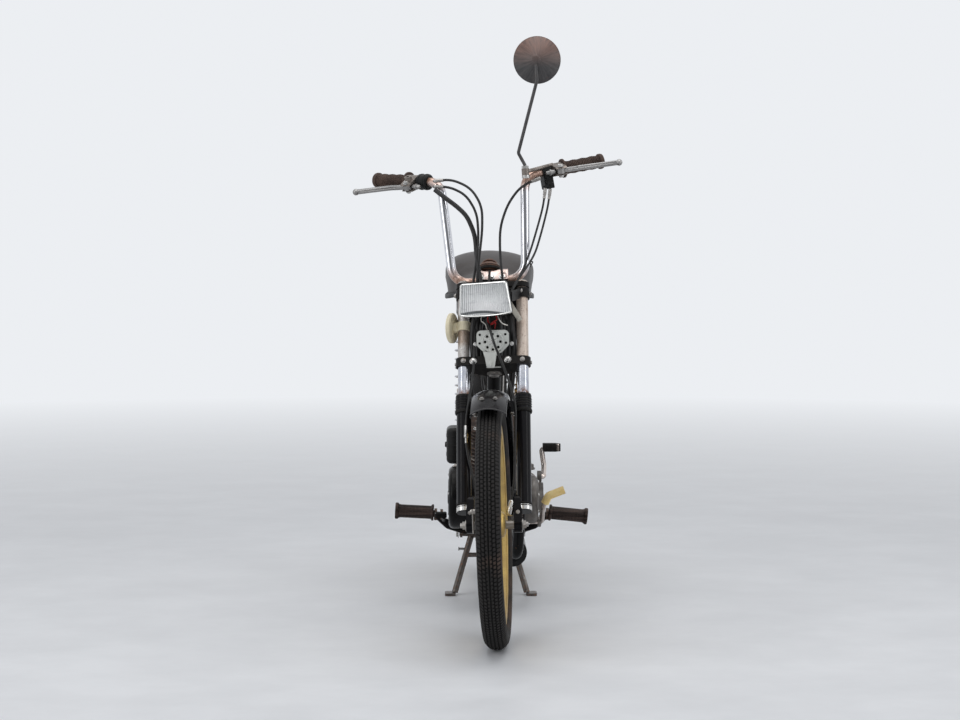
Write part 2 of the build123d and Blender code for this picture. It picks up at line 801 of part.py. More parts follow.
def mudguard(centre, radius, half_width, lip, start, sweep_angle):
    """A rolled channel round a wheel, from an angle above straight ahead, going backwards."""
    with BuildPart() as made:
        direction = Vector(0, -cos(radians(start)), sin(radians(start)))
        section_plane = Plane(origin=centre, x_dir=(1, 0, 0), z_dir=Vector(1, 0, 0).cross(direction))
        edge = radius - guard_crown
        inner = half_width - guard_sheet
        with BuildSketch(section_plane):
            with BuildLine():
                Polyline((-inner, edge), (-inner, edge - lip), (-half_width, edge - lip),
                         (-half_width, edge))
                ThreePointArc((-half_width, edge), (0, radius), (half_width, edge))
                Polyline((half_width, edge), (half_width, edge - lip), (inner, edge - lip),
                         (inner, edge))
                ThreePointArc((inner, edge), (0, radius - guard_sheet), (-inner, edge))
            make_face()
        revolve(axis=Axis(centre, (-1, 0, 0)), revolution_arc=sweep_angle)
    return made.part


front_guard_half = 40.0
front_guard_lip = 10.0
guard_lug_length = 28.0
guard_lug_height = axle_height + front_guard_radius - guard_crown - front_guard_lip - guard_lug_length / 2
with BuildPart() as front_mudguard:
    add(mudguard(front_axle, front_guard_radius, front_guard_half, front_guard_lip, 64, 106))
    # lugs that bolt its skirts to the fork legs
    lug_half = (front_guard_half - guard_sheet + stanchion_half) / 2
    with BuildSketch(steer_plane.offset(guard_lug_height)):
        with Locations((-lug_half, -fork_offset), (lug_half, -fork_offset)):
            Rectangle(stanchion_half - front_guard_half + guard_sheet, 24)
    extrude(amount=guard_lug_length)
    add(fork_legs.part, mode=Mode.SUBTRACT)
    add(stanchions.part, mode=Mode.SUBTRACT)
keep("front_mudguard", front_mudguard, "fork")

# ---- frame --------------------------------------------------------------------------------

head_low = steer(0, 0, head_tube_low)
head_high = steer(0, 0, head_tube_high)
backbone_start = steer(0, 0, head_tube_high - 46)
backbone_knee = (0, 95, 652)
backbone_end = (0, pivot_y, pivot_z)
down_start = steer(0, 0, head_tube_low + 52)
down_end = (0, -232, 318)
plate_outer = plate_inner + plate_thickness

with BuildPart() as main_frame:
    with BuildSketch(steer_plane.offset(head_tube_low)):
        Circle(head_tube_diameter / 2)
    extrude(amount=head_tube_high - head_tube_low)
    add(rod([backbone_start, backbone_knee, backbone_end], frame_tube, 90))
    add(rod([down_start, down_end], down_tube))
    # pivot cross tubes and the side plates that carry them
    for y, z, diameter in ((pivot_y, pivot_z, 34), (stand_pivot_y, stand_pivot_z, 32)):
        with BuildSketch(Plane.YZ.offset(-plate_outer)):
            with Locations((y, z)):
                Circle(diameter / 2)
        extrude(amount=2 * plate_outer)
    for x in (-plate_outer, plate_inner):
        with BuildSketch(Plane.YZ.offset(x)):
            with BuildLine():
                Polyline((pivot_y - 32, pivot_z + 6), (pivot_y - 22, pivot_z + 46),
                         (pivot_y + 18, pivot_z + 40), (pivot_y + 26, pivot_z - 6),
                         (stand_pivot_y + 18, stand_pivot_z), (stand_pivot_y, stand_pivot_z - 18),
                         (stand_pivot_y - 20, stand_pivot_z + 4), (pivot_y - 34, pivot_z - 60),
                         close=True)
            make_face()
        extrude(amount=plate_thickness)
    # stem bore and stand bore
    with BuildSketch(steer_plane.offset(head_tube_low)):
        Circle(stem_diameter / 2 + bearing_clearance)
    extrude(amount=head_tube_high - head_tube_low, mode=Mode.SUBTRACT)
    with BuildSketch(Plane.YZ.offset(-plate_outer)):
        with Locations((stand_pivot_y, stand_pivot_z)):
            Circle(stand_tube / 2 + stand_clearance)
    extrude(amount=2 * plate_outer, mode=Mode.SUBTRACT)
keep("main_frame", main_frame)

seat_rail_z = seat_low - seat_pad_gap - loop_tube / 2
seat_tail_y = 690.0
rail_route = [(14, 62, backbone_knee[2] + 2), (seat_loop_half, 165, seat_rail_z - 8),
              (seat_loop_half, seat_tail_y, seat_rail_z)]
seat_bracket_places = (200, 600)
seat_bracket_height = 26.0
rear_cross_y = 545.0
shock_eye = 13.0
shock_eye_half = 9.0
shock_plate = 6.0
damper_half = 82.0
damper_low_y = 520.0
arm_rise = (rear_axle_z - pivot_z) / (rear_axle_y - pivot_y)
damper_low_z = pivot_z + (damper_low_y - pivot_y) * arm_rise + arm_tube / 2 + shock_eye + 7
damper_low = Vector(damper_half, damper_low_y, damper_low_z)
damper_high = Vector(damper_half, 478, seat_rail_z - 48)
shock_inner = damper_half - shock_eye_half      # where the eyes meet their plates


def shock_bracket(place, reach):
    """The plates beside a pair of shock absorber eyes, running up or down to their tubes."""
    with BuildPart() as made:
        with BuildSketch(Plane.YZ.offset(shock_inner - shock_plate)):
            with Locations((place.Y, place.Z)):
                Circle(shock_eye)
            with Locations((place.Y, place.Z + reach)):
                Rectangle(34, 2)
            make_hull()
        extrude(amount=shock_plate)
        mirror(about=Plane.YZ)
    return made.part


with BuildPart() as seat_frame:
    add(rod(rail_route + mirrored(rail_route[::-1]), loop_tube, [60, 50, 50, 60]))
    for side in (1, -1):
        add(rod([(side * 37, pivot_y + 4, pivot_z + 30), (side * 37, pivot_y + 12, 400),
                 (side * seat_loop_half, 440, seat_rail_z)], stay_tube, 80))
    # a cross tube for the rear mudguard, plates for the shock absorbers and pads for the seat
    with BuildSketch(Plane.YZ.offset(-seat_loop_half)):
        with Locations((rear_cross_y, seat_rail_z)):
            Circle(stay_tube / 2)
    extrude(amount=2 * seat_loop_half)
    add(shock_bracket(damper_high, seat_rail_z - damper_high.Z))
    for y in seat_bracket_places:
        for side in (1, -1):
            with BuildSketch(Plane.XY.offset(seat_rail_z - 6)):
                with Locations((side * seat_loop_half, y)):
                    Rectangle(14, 26)
            extrude(amount=seat_bracket_height)
    add(main_frame.part, mode=Mode.SUBTRACT)
keep("seat_frame", seat_frame)

rear_guard_half = 45.0
with BuildPart() as rear_mudguard:
    add(mudguard(rear_axle, rear_guard_radius, rear_guard_half, 14, 14, 150))
    # the strap up to the cross tube
    strap_low = rear_axle_z + rear_guard_radius - guard_sheet - 4
    with BuildSketch(Plane.XY.offset(strap_low)):
        with Locations((0, rear_cross_y)):
            Rectangle(36, 5)
    extrude(amount=seat_rail_z - strap_low)
    add(seat_frame.part, mode=Mode.SUBTRACT)
keep("rear_mudguard", rear_mudguard)

# ---- rear suspension ----------------------------------------------------------------------

with BuildPart() as swingarm:
    for side in (1, -1):
        add(rod([(side * arm_half, pivot_y, pivot_z), (side * arm_half, rear_axle_y, rear_axle_z)],
                arm_tube))
        for y, z in ((pivot_y, pivot_z), (rear_axle_y, rear_axle_z)):
            with BuildSketch(Plane.YZ.offset(side * arm_half - eye_width / 2)):
                with Locations((y, z)):
                    Circle(18)
            extrude(amount=eye_width)
    add(shock_bracket(damper_low, rear_axle_z - damper_low.Z))
    brace_z = pivot_z + (rear_axle_z - pivot_z) * 50 / (rear_axle_y - pivot_y)
    add(rod([(-arm_half, pivot_y + 50, brace_z), (arm_half, pivot_y + 50, brace_z)], arm_tube - 4))
    with BuildSketch(Plane.YZ.offset(-arm_outer - 8)):
        with Locations((pivot_y, pivot_z)):
            Circle(8)
    extrude(amount=2 * arm_outer + 16)
    for side in (1, -1):
        with BuildSketch(Plane.YZ.offset(side * (plate_outer + 1))):
            with Locations((pivot_y, pivot_z)):
                Circle(13)
        extrude(amount=side * (arm_half - plate_outer - 1))
    add(rear_spindle.part, mode=Mode.SUBTRACT)
    add(main_frame.part, mode=Mode.SUBTRACT)
keep("swingarm", swingarm)

spring_radius = 19.0
damper_radius = 13.0
coil_count = 9
coil_start = 70.0
with BuildPart() as rear_shocks:
    shock_plane = Plane(origin=damper_low, x_dir=(1, 0, 0), z_dir=damper_high - damper_low)
    shock_length = (damper_high - damper_low).length
    coil_pitch = (shock_length - coil_start - 30) / coil_count
    with BuildSketch(shock_plane.offset(shock_eye + 3)):
        Circle(damper_radius)
    extrude(amount=shock_length * 0.5)
    with BuildSketch(shock_plane):
        Circle(6)
    extrude(amount=shock_length)
    # the spring: a core with a ring for each coil
    with BuildSketch(shock_plane.offset(coil_start - 6)):
        Circle(damper_radius + 1)
    extrude(amount=shock_length - coil_start - 20)
    for index in range(coil_count):
        with BuildSketch(shock_plane.offset(coil_start + index * coil_pitch)):
            Circle(spring_radius)
        extrude(amount=coil_pitch * 0.5)
    for place in (damper_low, damper_high):
        with BuildSketch(Plane.YZ.offset(shock_inner)):
            with Locations((place.Y, place.Z)):
                Circle(shock_eye)
        extrude(amount=2 * shock_eye_half)
        with BuildSketch(Plane.YZ.offset(shock_inner + 2 * shock_eye_half)):
            with Locations((place.Y, place.Z)):
                Circle(8)
        extrude(amount=5)
    mirror(about=Plane.YZ)
keep("rear_shocks", rear_shocks)

# ---- engine -------------------------------------------------------------------------------

case_ring = 75.0
gear_y = 72.0
gear_z = 270.0
gear_ring = 70.0

with BuildPart() as crankcase:
    with BuildSketch(Plane.YZ.offset(case_right)):
        with Locations((crank_y, crank_z)):
            Circle(case_ring)
        with Locations((gear_y, gear_z)):
            Circle(gear_ring)
        make_hull()
    extrude(amount=case_left - case_right)
    # mounting ears for the down tube
    with BuildSketch(Plane.YZ.offset(-10)):
        with BuildLine():
            Polyline((crank_y - 40, crank_z + 30), (down_end[1] - 4, down_end[2] + 14),
                     (down_end[1] - 4, down_end[2] - 16), (crank_y - 40, crank_z - 20), close=True)
        make_face()
    extrude(amount=20)
    # rear ears that reach the pivot plates
    with BuildSketch(Plane.YZ.offset(-plate_inner + 1)):
        with BuildLine():
            Polyline((gear_y + 40, gear_z + 34), (pivot_y - 26, gear_z + 40),
                     (pivot_y - 26, gear_z + 12), (gear_y + 40, gear_z - 6), close=True)
        make_face()
    extrude(amount=2 * plate_inner - 2)
    add(main_frame.part, mode=Mode.SUBTRACT)
keep("crankcase", crankcase)

with BuildPart() as clutch_cover:
    with BuildSketch(Plane.YZ.offset(case_left)):
        with Locations((crank_y + 20, crank_z - 8)):
            Circle(60)
        with Locations((gear_y - 6, gear_z + 2)):
            Circle(58)
        make_hull()
    extrude(amount=cover_left - case_left)
    fillet(clutch_cover.faces().sort_by(Axis.X)[-1].edges(), 14)
    with BuildSketch(Plane.YZ.offset(cover_left - 14)):
        with Locations((gear_y - 6, gear_z + 2)):
            Circle(44)
    extrude(amount=30, taper=12)
keep("clutch_cover", clutch_cover)

with BuildPart() as magneto_cover:
    with BuildSketch(Plane.YZ.offset(case_right)):
        with Locations((crank_y, crank_z)):
            Circle(77.5)
    extrude(amount=cover_right - case_right)
    fillet(magneto_cover.faces().sort_by(Axis.X)[0].edges(), 12)
    with BuildSketch(Plane.YZ.offset(chain_x - chain_width)):
        with Locations((crank_y + 20, crank_z)):
            Circle(60)
        with Locations((output_y, output_z)):
            Circle(42)
        make_hull()
    extrude(amount=-26)
keep("magneto_cover", magneto_cover)

cylinder_direction = Vector(0, -sin(radians(cylinder_lean)), cos(radians(cylinder_lean)))
cylinder_plane = Plane(origin=(0, crank_y, crank_z), x_dir=(1, 0, 0), z_dir=cylinder_direction)
barrel_base = 70.0
barrel_top = 166.0
fin_count = 8
fin_thickness = 3.2
fin_width = 108.0
fin_depth = 104.0
fin_pitch = (barrel_top - barrel_base - 14) / fin_count
head_fin_count = 4
with BuildPart() as cylinder:
    with BuildSketch(cylinder_plane.offset(barrel_base)):
        Circle(33)
    extrude(amount=barrel_top - barrel_base)
    for index in range(fin_count):
        with BuildSketch(cylinder_plane.offset(barrel_base + 14 + index * fin_pitch)):
            RectangleRounded(fin_width, fin_depth, 18)
        extrude(amount=fin_thickness)
    # exhaust and inlet stubs
    with BuildSketch(Plane(origin=cylinder_plane.from_local_coords((0, 0, 104)),
                           x_dir=(1, 0, 0), z_dir=cylinder_plane.y_dir)):
        Circle(19)
    extrude(amount=66, both=True)
    add(crankcase.part, mode=Mode.SUBTRACT)
    # the head, its fins and the plug
    with BuildSketch(cylinder_plane.offset(barrel_top)):
        RectangleRounded(fin_width - 20, fin_depth - 20, 24)
    extrude(amount=10)
    for index in range(head_fin_count):
        with BuildSketch(cylinder_plane.offset(barrel_top + 10 + index * 9)):
            RectangleRounded(fin_width, fin_depth, 18)
        extrude(amount=fin_thickness)
        with BuildSketch(cylinder_plane.offset(barrel_top + 10 + index * 9)):
            Circle(26)
        extrude(amount=9)
    with BuildSketch(cylinder_plane.offset(barrel_top + 46)):
        Circle(7)
    extrude(amount=24)
keep("cylinder", cylinder)

port_front = cylinder_plane.from_local_coords((0, -66, 104))
port_back = cylinder_plane.from_local_coords((0, 66, 104))

with BuildPart() as carburettor:
    carb_start = Vector(port_back)
    carb_axis = Vector(0, cos(radians(cylinder_lean)), sin(radians(cylinder_lean))) * -1
    with BuildSketch(Plane(origin=carb_start, z_dir=cylinder_plane.y_dir)):
        Circle(18)
    extrude(amount=52)
    with BuildSketch(Plane(origin=carb_start + Vector(0, 24, -44), z_dir=(0, 0, 1))):
        RectangleRounded(40, 38, 8)
    extrude(amount=84)
    add(cylinder.part, mode=Mode.SUBTRACT)
keep("carburettor", carburettor)

air_box_low = Vector(-115, 44, 359)
air_box_size = Vector(62, 104, 92)
with BuildPart() as air_box:
    with BuildSketch(Plane.XY.offset(air_box_low.Z)):
        with Locations((air_box_low.X + air_box_size.X / 2, air_box_low.Y + air_box_size.Y / 2)):
            RectangleRounded(air_box_size.X, air_box_size.Y, 20)
    extrude(amount=air_box_size.Z)
    fillet(air_box.faces().sort_by(Axis.Z)[-1].edges(), 12)
    fillet(air_box.faces().sort_by(Axis.Z)[0].edges(), 12)
    hose_end = Vector(port_back) + cylinder_plane.y_dir * 52
    add(rod([hose_end, hose_end + Vector(-8, 18, 2), (-70, 96, 405)], 30, 8))
    add(carburettor.part, mode=Mode.SUBTRACT)
keep("air_box", air_box)

pipe_diameter = 28.0
port = Vector(port_front)
chamber_radius = 36.0
chamber_front = Vector(50, -112, 153)
chamber_length = 208.0
chamber_back = chamber_front + Vector(0, chamber_length, 0)
silencer_radius = 33.0
silencer_length = 340.0
silencer_neck = 60.0
silencer_start = Vector(104, 300, 226)
silencer_direction = Vector(0, 1, 0.03).normalized()
header_route = [port, port - cylinder_plane.y_dir * 26, Vector(68, -192, 292), Vector(60, -186, 162),
                chamber_front]
link_route = [chamber_back, chamber_back + Vector(10, 46, -8), Vector(82, 212, 176), silencer_start,
              silencer_start + silencer_direction * silencer_neck]
with BuildPart() as exhaust:
    add(rod(header_route, pipe_diameter, [20, 50, 30]))
    # the flat chamber under the engine
    with BuildSketch(Plane(origin=chamber_front, x_dir=(1, 0, 0), z_dir=(0, 1, 0))):
        Circle(chamber_radius)
    extrude(amount=chamber_length)
    chamfer(exhaust.edges().filter_by(GeomType.CIRCLE).filter_by(
        lambda edge: abs(edge.radius - chamber_radius) < 0.01), 14)
    add(rod(link_route, pipe_diameter, [30, 30, 40]))
    # the silencer and its tail pipe
    with BuildSketch(Plane(origin=silencer_start, x_dir=silencer_direction, z_dir=(1, 0, 0))):
        with BuildLine():
            Polyline((-10, 0), (-10, 15), (silencer_neck, silencer_radius),
                     (silencer_neck + silencer_length, silencer_radius),
                     (silencer_neck + silencer_length + 28, 12),
                     (silencer_neck + silencer_length + 80, 12),
                     (silencer_neck + silencer_length + 80, 0), close=True)
        make_face()
    revolve(axis=Axis(silencer_start, silencer_direction))
keep("exhaust", exhaust)

# ---- chain --------------------------------------------------------------------------------


def chain_outline(grow):
    """The chain's run round both sprockets, grown outwards from its inner edge."""
    with BuildSketch() as outline:
        with Locations((output_y, output_z)):
            Circle(drive_radius + grow)
        with Locations((rear_axle_y, rear_axle_z)):
            Circle(driven_radius + chain_gap + grow)
        make_hull()
    return outline.sketch


with BuildPart() as chain:
    with BuildSketch(Plane.YZ.offset(chain_x - chain_width / 2)):
        add(chain_outline(chain_depth))
        add(chain_outline(0), mode=Mode.SUBTRACT)
    extrude(amount=chain_width)
keep("chain", chain)

guard_front_y = 330.0
guard_back_y = 700.0
guard_stay_y = 400.0
with BuildPart() as chain_guard:
    with BuildSketch(Plane.YZ.offset(chain_x - chain_width)):
        add(chain_outline(chain_depth + 9))
        add(chain_outline(chain_depth + 7), mode=Mode.SUBTRACT)
        with Locations((0, 0)):
            Rectangle(2 * guard_front_y, 2000, mode=Mode.SUBTRACT)
        with BuildLine():
            Polyline((guard_front_y - 80, 100), (guard_back_y, 100),
                     (guard_back_y, rear_axle_z + 28), (guard_front_y - 80, rear_axle_z + 28),
                     close=True)
        make_face(mode=Mode.SUBTRACT)
    extrude(amount=2 * chain_width)
    # the stay down to the swinging arm
    stay_face = chain_x - chain_width
    with BuildSketch(Plane.YZ.offset(stay_face - 5)):
        chain_rise = (driven_radius - drive_radius + rear_axle_z - output_z) / (rear_axle_y - output_y)
        guard_z = (output_z + drive_radius + chain_depth + 9 + (guard_stay_y - output_y) * chain_rise)
        with BuildLine():
            Polyline((guard_stay_y - 10, rear_axle_z), (guard_stay_y + 10, rear_axle_z),
                     (guard_stay_y + 10, guard_z), (guard_stay_y - 10, guard_z), close=True)
        make_face()
    extrude(amount=6)
    add(swingarm.part, mode=Mode.SUBTRACT)
keep("chain_guard", chain_guard)

# ---- pedals and pegs ----------------------------------------------------------------------

def peg_point(side, distance):
    """A point on a peg's line, a distance out from its inner end."""
    bend = radians(peg_bends[0] if side > 0 else peg_bends[1])
    return (side * (peg_inner + distance * cos(bend)), peg_y, peg_z + distance * sin(bend))


def peg_route(side):
    """The bar's route from a peg's end in to where it drops under the frame."""
    return [peg_point(side, peg_length - 12), peg_point(side, 0), (side * 112, peg_y + 14, peg_z - 36),
            (side * 70, peg_y + 40, 176)]


with BuildPart() as footpeg_bar:
    add(rod(peg_route(1) + peg_route(-1)[::-1], peg_bar, [26, 18, 18, 18, 18, 26]))
    # lugs up to the frame's plates
    for x in (-plate_inner, plate_inner - 8):
        with BuildSketch(Plane.YZ.offset(x)):
            with BuildLine():
                Polyline((peg_y + 30, 172), (peg_y + 50, 172), (peg_y + 50, 214),
                         (peg_y + 30, 214), close=True)
            make_face()
        extrude(amount=8)
    # the rear brake pedal
    add(rod([(-96, peg_y + 14, peg_z - 28), (-122, peg_y + 4, peg_z - 20), (-122, -20, peg_z + 4)],
            11, 12))
    with BuildSketch(Plane.XY.offset(peg_z + 4)):
        with Locations((-129, -26)):
            RectangleRounded(30, 36, 6)
    extrude(amount=10)
    add(crankcase.part, mode=Mode.SUBTRACT)
    add(main_frame.part, mode=Mode.SUBTRACT)
keep("footpeg_bar", footpeg_bar)

peg_rubber_radius = 16.5
peg_flange_radius = 21.0
with BuildPart() as peg_rubbers:
    for side in (1, -1):
        inner = Vector(*peg_point(side, 0))
        outwards = Vector(*peg_point(side, 1)) - inner
        with BuildSketch(Plane(origin=inner, z_dir=outwards)):
            Circle(peg_rubber_radius)
        extrude(amount=peg_length)
        with BuildSketch(Plane(origin=inner + outwards * peg_length, z_dir=outwards)):
            Circle(peg_flange_radius)
        extrude(amount=7)
    add(footpeg_bar.part, mode=Mode.SUBTRACT)
keep("peg_rubbers", peg_rubbers)

kick_height = 389.0
with BuildPart() as kick_lever:
    kick_start = Vector(cover_left, 20, 330)
    add(rod([kick_start, kick_start + Vector(16, 0, 0), (134, 70, 350), (130, 158, kick_height),
             (172, 158, kick_height + 2)], 13, [7, 20, 16]))
    with BuildSketch(Plane.YZ.offset(134)):
        with Locations((158, kick_height + 2)):
            RectangleRounded(26, 20, 6)
    extrude(amount=42)
    add(clutch_cover.part, mode=Mode.SUBTRACT)
keep("kick_lever", kick_lever)

gear_knee = Vector(126, -118, 270)
gear_bend = Vector(138, -128, 298)
gear_end = Vector(174, -128, 312)
with BuildPart() as gear_lever:
    gear_start = Vector(cover_left - 20, -52, 224)
    add(rod([gear_start, gear_start + Vector(30, 0, 0), gear_knee, gear_bend, gear_end], 11,
            [9, 20, 12]))
    add(clutch_cover.part, mode=Mode.SUBTRACT)
keep("gear_lever", gear_lever)

with BuildPart() as gear_rubber:
    add(rod([gear_knee + (gear_bend - gear_knee) * 0.35, gear_bend,
             gear_end + (gear_end - gear_bend) * 0.1], 20, 12))
    add(gear_lever.part, mode=Mode.SUBTRACT)
keep("gear_rubber", gear_rubber)

# ---- stand --------------------------------------------------------------------------------

foot_pad_height = 7.0
with BuildPart() as centre_stand:
    add(rod([(-stand_hip_half - 6, stand_pivot_y, stand_pivot_z),
             (stand_hip_half + 6, stand_pivot_y, stand_pivot_z)], stand_tube))
    add(rod([(-stand_bolt_half, stand_pivot_y, stand_pivot_z),
             (stand_bolt_half, stand_pivot_y, stand_pivot_z)], 12))
    for side in (1, -1):
        hip = Vector(side * stand_hip_half, stand_pivot_y, stand_pivot_z)
        foot = Vector(side * (stand_foot_half - 12), stand_foot_y + 2, foot_pad_height)
        add(rod([hip, foot], stand_leg))
        with BuildSketch(Plane.XY):
            with Locations((side * stand_foot_half, stand_foot_y)):
                RectangleRounded(28, 46, 8)
        extrude(amount=foot_pad_height)
        with BuildSketch(Plane.YZ.offset(side * (stand_bolt_half - 8))):
            with Locations((stand_pivot_y, stand_pivot_z)):
                RegularPolygon(10, 6)
        extrude(amount=side * 6)
    brace = hip + (foot - hip) * 0.36
    add(rod([(brace.X, brace.Y, brace.Z), (-brace.X, brace.Y, brace.Z)], 12))
    with BuildSketch(Plane.XY):
        Rectangle(600, 2000)
    extrude(amount=-30, mode=Mode.SUBTRACT)
keep("centre_stand", centre_stand)

# ---- tank, seat and tail ------------------------------------------------------------------

with BuildPart() as fuel_tank:
    with BuildSketch(Plane.YZ.offset(-80)):
        with BuildLine():
            Polyline((-262, 712), (-250, 800), (-170, 826), (-40, 806), (52, 742), (52, 672),
                     (-60, 668), (-200, 690), close=True)
        make_face()
    extrude(amount=160)
    fillet(fuel_tank.edges().filter_by(GeomType.LINE).filter_by(Axis.X, reverse=True), 26)
    with BuildSketch(Plane.YZ.offset(-frame_tube / 2)):
        with BuildLine():
            start = Vector(backbone_start)
            knee = Vector(*backbone_knee)
            Polyline((start.Y, start.Z), (knee.Y, knee.Z), (knee.Y, 500), (start.Y, 500), close=True)
        make_face()
    extrude(amount=frame_tube, mode=Mode.SUBTRACT)
    add(main_frame.part, mode=Mode.SUBTRACT)
keep("fuel_tank", fuel_tank)

seat_stations = [
    # distance back, width, underside above the skirt's lowest point, top above it
    (70, 130, 6, 46),
    (180, 160, 10, 58),
    (300, 170, 14, 74),
    (410, 235, 6, 114),
    (470, 255, 0, 128),
    (620, 240, 2, 120),
    (715, 185, 12, 86),
]
with BuildPart() as seat:
    for back, width, low, high in seat_stations:
        with BuildSketch(Plane(origin=(0, back, seat_low), x_dir=(1, 0, 0), z_dir=(0, 1, 0))) as section:
            with BuildLine():
                half = width / 2
                shoulder = low + (high - low) * 0.62
                Polyline((half, -shoulder), (half, -low), (-half, -low), (-half, -shoulder))
                ThreePointArc((-half, -shoulder), (0, -high), (half, -shoulder))
            make_face()
            fillet(section.vertices().group_by(Axis.Z)[-1], (high - low) * 0.3)
    loft(ruled=True)
    add(seat_frame.part, mode=Mode.SUBTRACT)
keep("seat", seat)

tail_angle = 32.0               # above level, behind the rear axle
tail_direction = Vector(0, cos(radians(tail_angle)), sin(radians(tail_angle)))
with BuildPart() as tail_lamp:
    with BuildSketch(Plane(origin=rear_axle + tail_direction * (rear_guard_radius - 8), x_dir=(1, 0, 0),
                           z_dir=tail_direction)):
        RectangleRounded(84, 52, 8)
    extrude(amount=48, taper=6)
    # its foot is hollowed to the mudguard's own crown
    with BuildSketch(axle_section(rear_axle)):
        with BuildLine():
            edge = rear_guard_radius - guard_crown
            ThreePointArc((-rear_guard_half, edge), (0, rear_guard_radius), (rear_guard_half, edge))
            Polyline((rear_guard_half, edge), (rear_guard_half, edge - 60), (-rear_guard_half, edge - 60),
                     (-rear_guard_half, edge))
        make_face()
    revolve(axis=Axis(rear_axle, (1, 0, 0)), mode=Mode.SUBTRACT)
keep("tail_lamp", tail_lamp)

# ---- cables -------------------------------------------------------------------------------

cable_diameter = 6.0
wire_diameter = 5.0
loom_diameter = 11.0
bend_share = 0.45               # of the shorter run, taken up by a bend's tangent


def cable(points, diameter):
    """A cable of straight runs joined by arcs, each as wide as its shorter run lets it be."""
    places = [Vector(*point) for point in points]
    runs = [after - before for before, after in zip(places, places[1:])]
    radii = []
    for before, after in zip(runs, runs[1:]):
        half_turn = radians(before.get_angle(after)) / 2
        radii.append(bend_share * min(before.length, after.length) / tan(half_turn))
    print("cable", diameter, "bends", [round(radius) for radius in radii])
    return rod(points, diameter, radii)


with BuildPart() as fork_cables:
    # front brake: from its lever, behind the lamp and down the right leg
    add(cable([(-138, -284, 1079), (-93, -298, 1082), (-46, -314, 1060), (-20, -330, 1016),
               (-20, -345, 960), (-28, -353, 902), (-36, -364, 840), (-39, -376, 765),
               (-43, -420, 692), (-45, -454, 630), (-54, -484, 577), (-64, -509, 519),
               (-62, -541, 453), (-48, -553, 392), (-40, -562, 345)], cable_diameter))
    # throttle
    add(cable([(-138, -286, 1066), (-98, -298, 1064), (-59, -308, 1044), (-33, -320, 1000),
               (-30, -332, 940), (-37, -344, 883), (-46, -357, 830), (-47, -362, 784)],
              cable_diameter))
    # the switches' loom, round the upright and into the lamp
    add(cable([(-134, -290, 1058), (-108, -302, 1037), (-84, -308, 1019), (-58, -314, 994),
               (-39, -322, 948), (-36, -338, 893), (-28, -362, 841), (-18, -380, 800)],
              loom_diameter))
    # clutch
    add(cable([(122, -302, 1079), (74, -320, 1061), (42, -332, 1020), (22, -338, 966),
               (20, -346, 910), (24, -361, 855), (30, -364, 796)], cable_diameter))
    # two wires from the switch block to the lamp
    add(cable([(131, -292, 1056), (125, -299, 1012), (109, -313, 958), (91, -331, 902),
               (68, -356, 850), (42, -385, 803)], wire_diameter))
    add(cable([(143, -289, 1054), (136, -295, 1010), (121, -309, 955), (103, -327, 898),
               (76, -351, 858), (49, -371, 824), (37, -384, 788)],
              wire_diameter))
    # speedometer: under the lamp, over the horn and down the left leg to the hub
    add(cable([(-6, -340, 862), (-9, -369, 812), (-11, -380, 752), (-6, -440, 735), (4, -460, 698),
               (22, -467, 652), (40, -479, 604), (53, -497, 556), (52, -522, 497), (50, -547, 436),
               (48, -566, 378), (37, -588, 316)], cable_diameter))
keep("fork_cables", fork_cables, "fork")

with BuildPart() as frame_cables:
    # throttle, below the tank to the carburettor
    add(cable([(-26, -325, 795), (-30, -290, 730), (-30, -236, 664), (-28, -172, 612),
               (-24, -112, 564), (-16, -60, 524), (-6, -26, 490), (0, -20.5, 451)], cable_diameter))
    # clutch, down beside the front tube and across to its cover
    add(cable([(26, -325, 795), (30, -296, 730), (30, -268, 660), (28, -262, 590), (29, -254, 515),
               (32, -240, 445), (60, -206, 406), (78, -158, 388), (90, -112, 378), (94, -80, 364)],
              cable_diameter))
keep("frame_cables", frame_cables)

# ---- store --------------------------------------------------------------------------------

os.makedirs("parts", exist_ok=True)
for name, shape in pieces.items():
    export_step(shape, f"parts/{name}.step")
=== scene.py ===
import json
import math
import random

import bmesh
import bpy
from mathutils import Matrix, Vector

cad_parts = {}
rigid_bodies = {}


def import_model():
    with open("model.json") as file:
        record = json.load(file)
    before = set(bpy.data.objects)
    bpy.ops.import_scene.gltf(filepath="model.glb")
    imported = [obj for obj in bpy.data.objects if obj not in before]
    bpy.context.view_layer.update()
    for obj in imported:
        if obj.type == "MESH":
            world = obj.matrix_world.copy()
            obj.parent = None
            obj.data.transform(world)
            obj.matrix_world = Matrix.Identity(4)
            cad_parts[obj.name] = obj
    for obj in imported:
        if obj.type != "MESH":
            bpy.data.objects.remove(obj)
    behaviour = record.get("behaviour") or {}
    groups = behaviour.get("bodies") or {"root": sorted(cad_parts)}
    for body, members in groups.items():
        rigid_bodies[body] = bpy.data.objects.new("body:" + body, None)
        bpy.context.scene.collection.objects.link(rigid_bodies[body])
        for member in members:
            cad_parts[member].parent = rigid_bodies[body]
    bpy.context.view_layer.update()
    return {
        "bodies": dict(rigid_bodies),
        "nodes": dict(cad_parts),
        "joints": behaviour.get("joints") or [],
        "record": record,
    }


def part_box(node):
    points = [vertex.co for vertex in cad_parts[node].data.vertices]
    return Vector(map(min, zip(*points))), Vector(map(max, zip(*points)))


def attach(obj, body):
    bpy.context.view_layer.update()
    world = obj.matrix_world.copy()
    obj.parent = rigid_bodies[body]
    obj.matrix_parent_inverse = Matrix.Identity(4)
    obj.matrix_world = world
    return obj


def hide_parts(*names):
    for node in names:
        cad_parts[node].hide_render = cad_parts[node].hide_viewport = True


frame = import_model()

nodes = frame["nodes"]
joints = {joint["name"]: joint for joint in frame["joints"]}
scene = bpy.context.scene


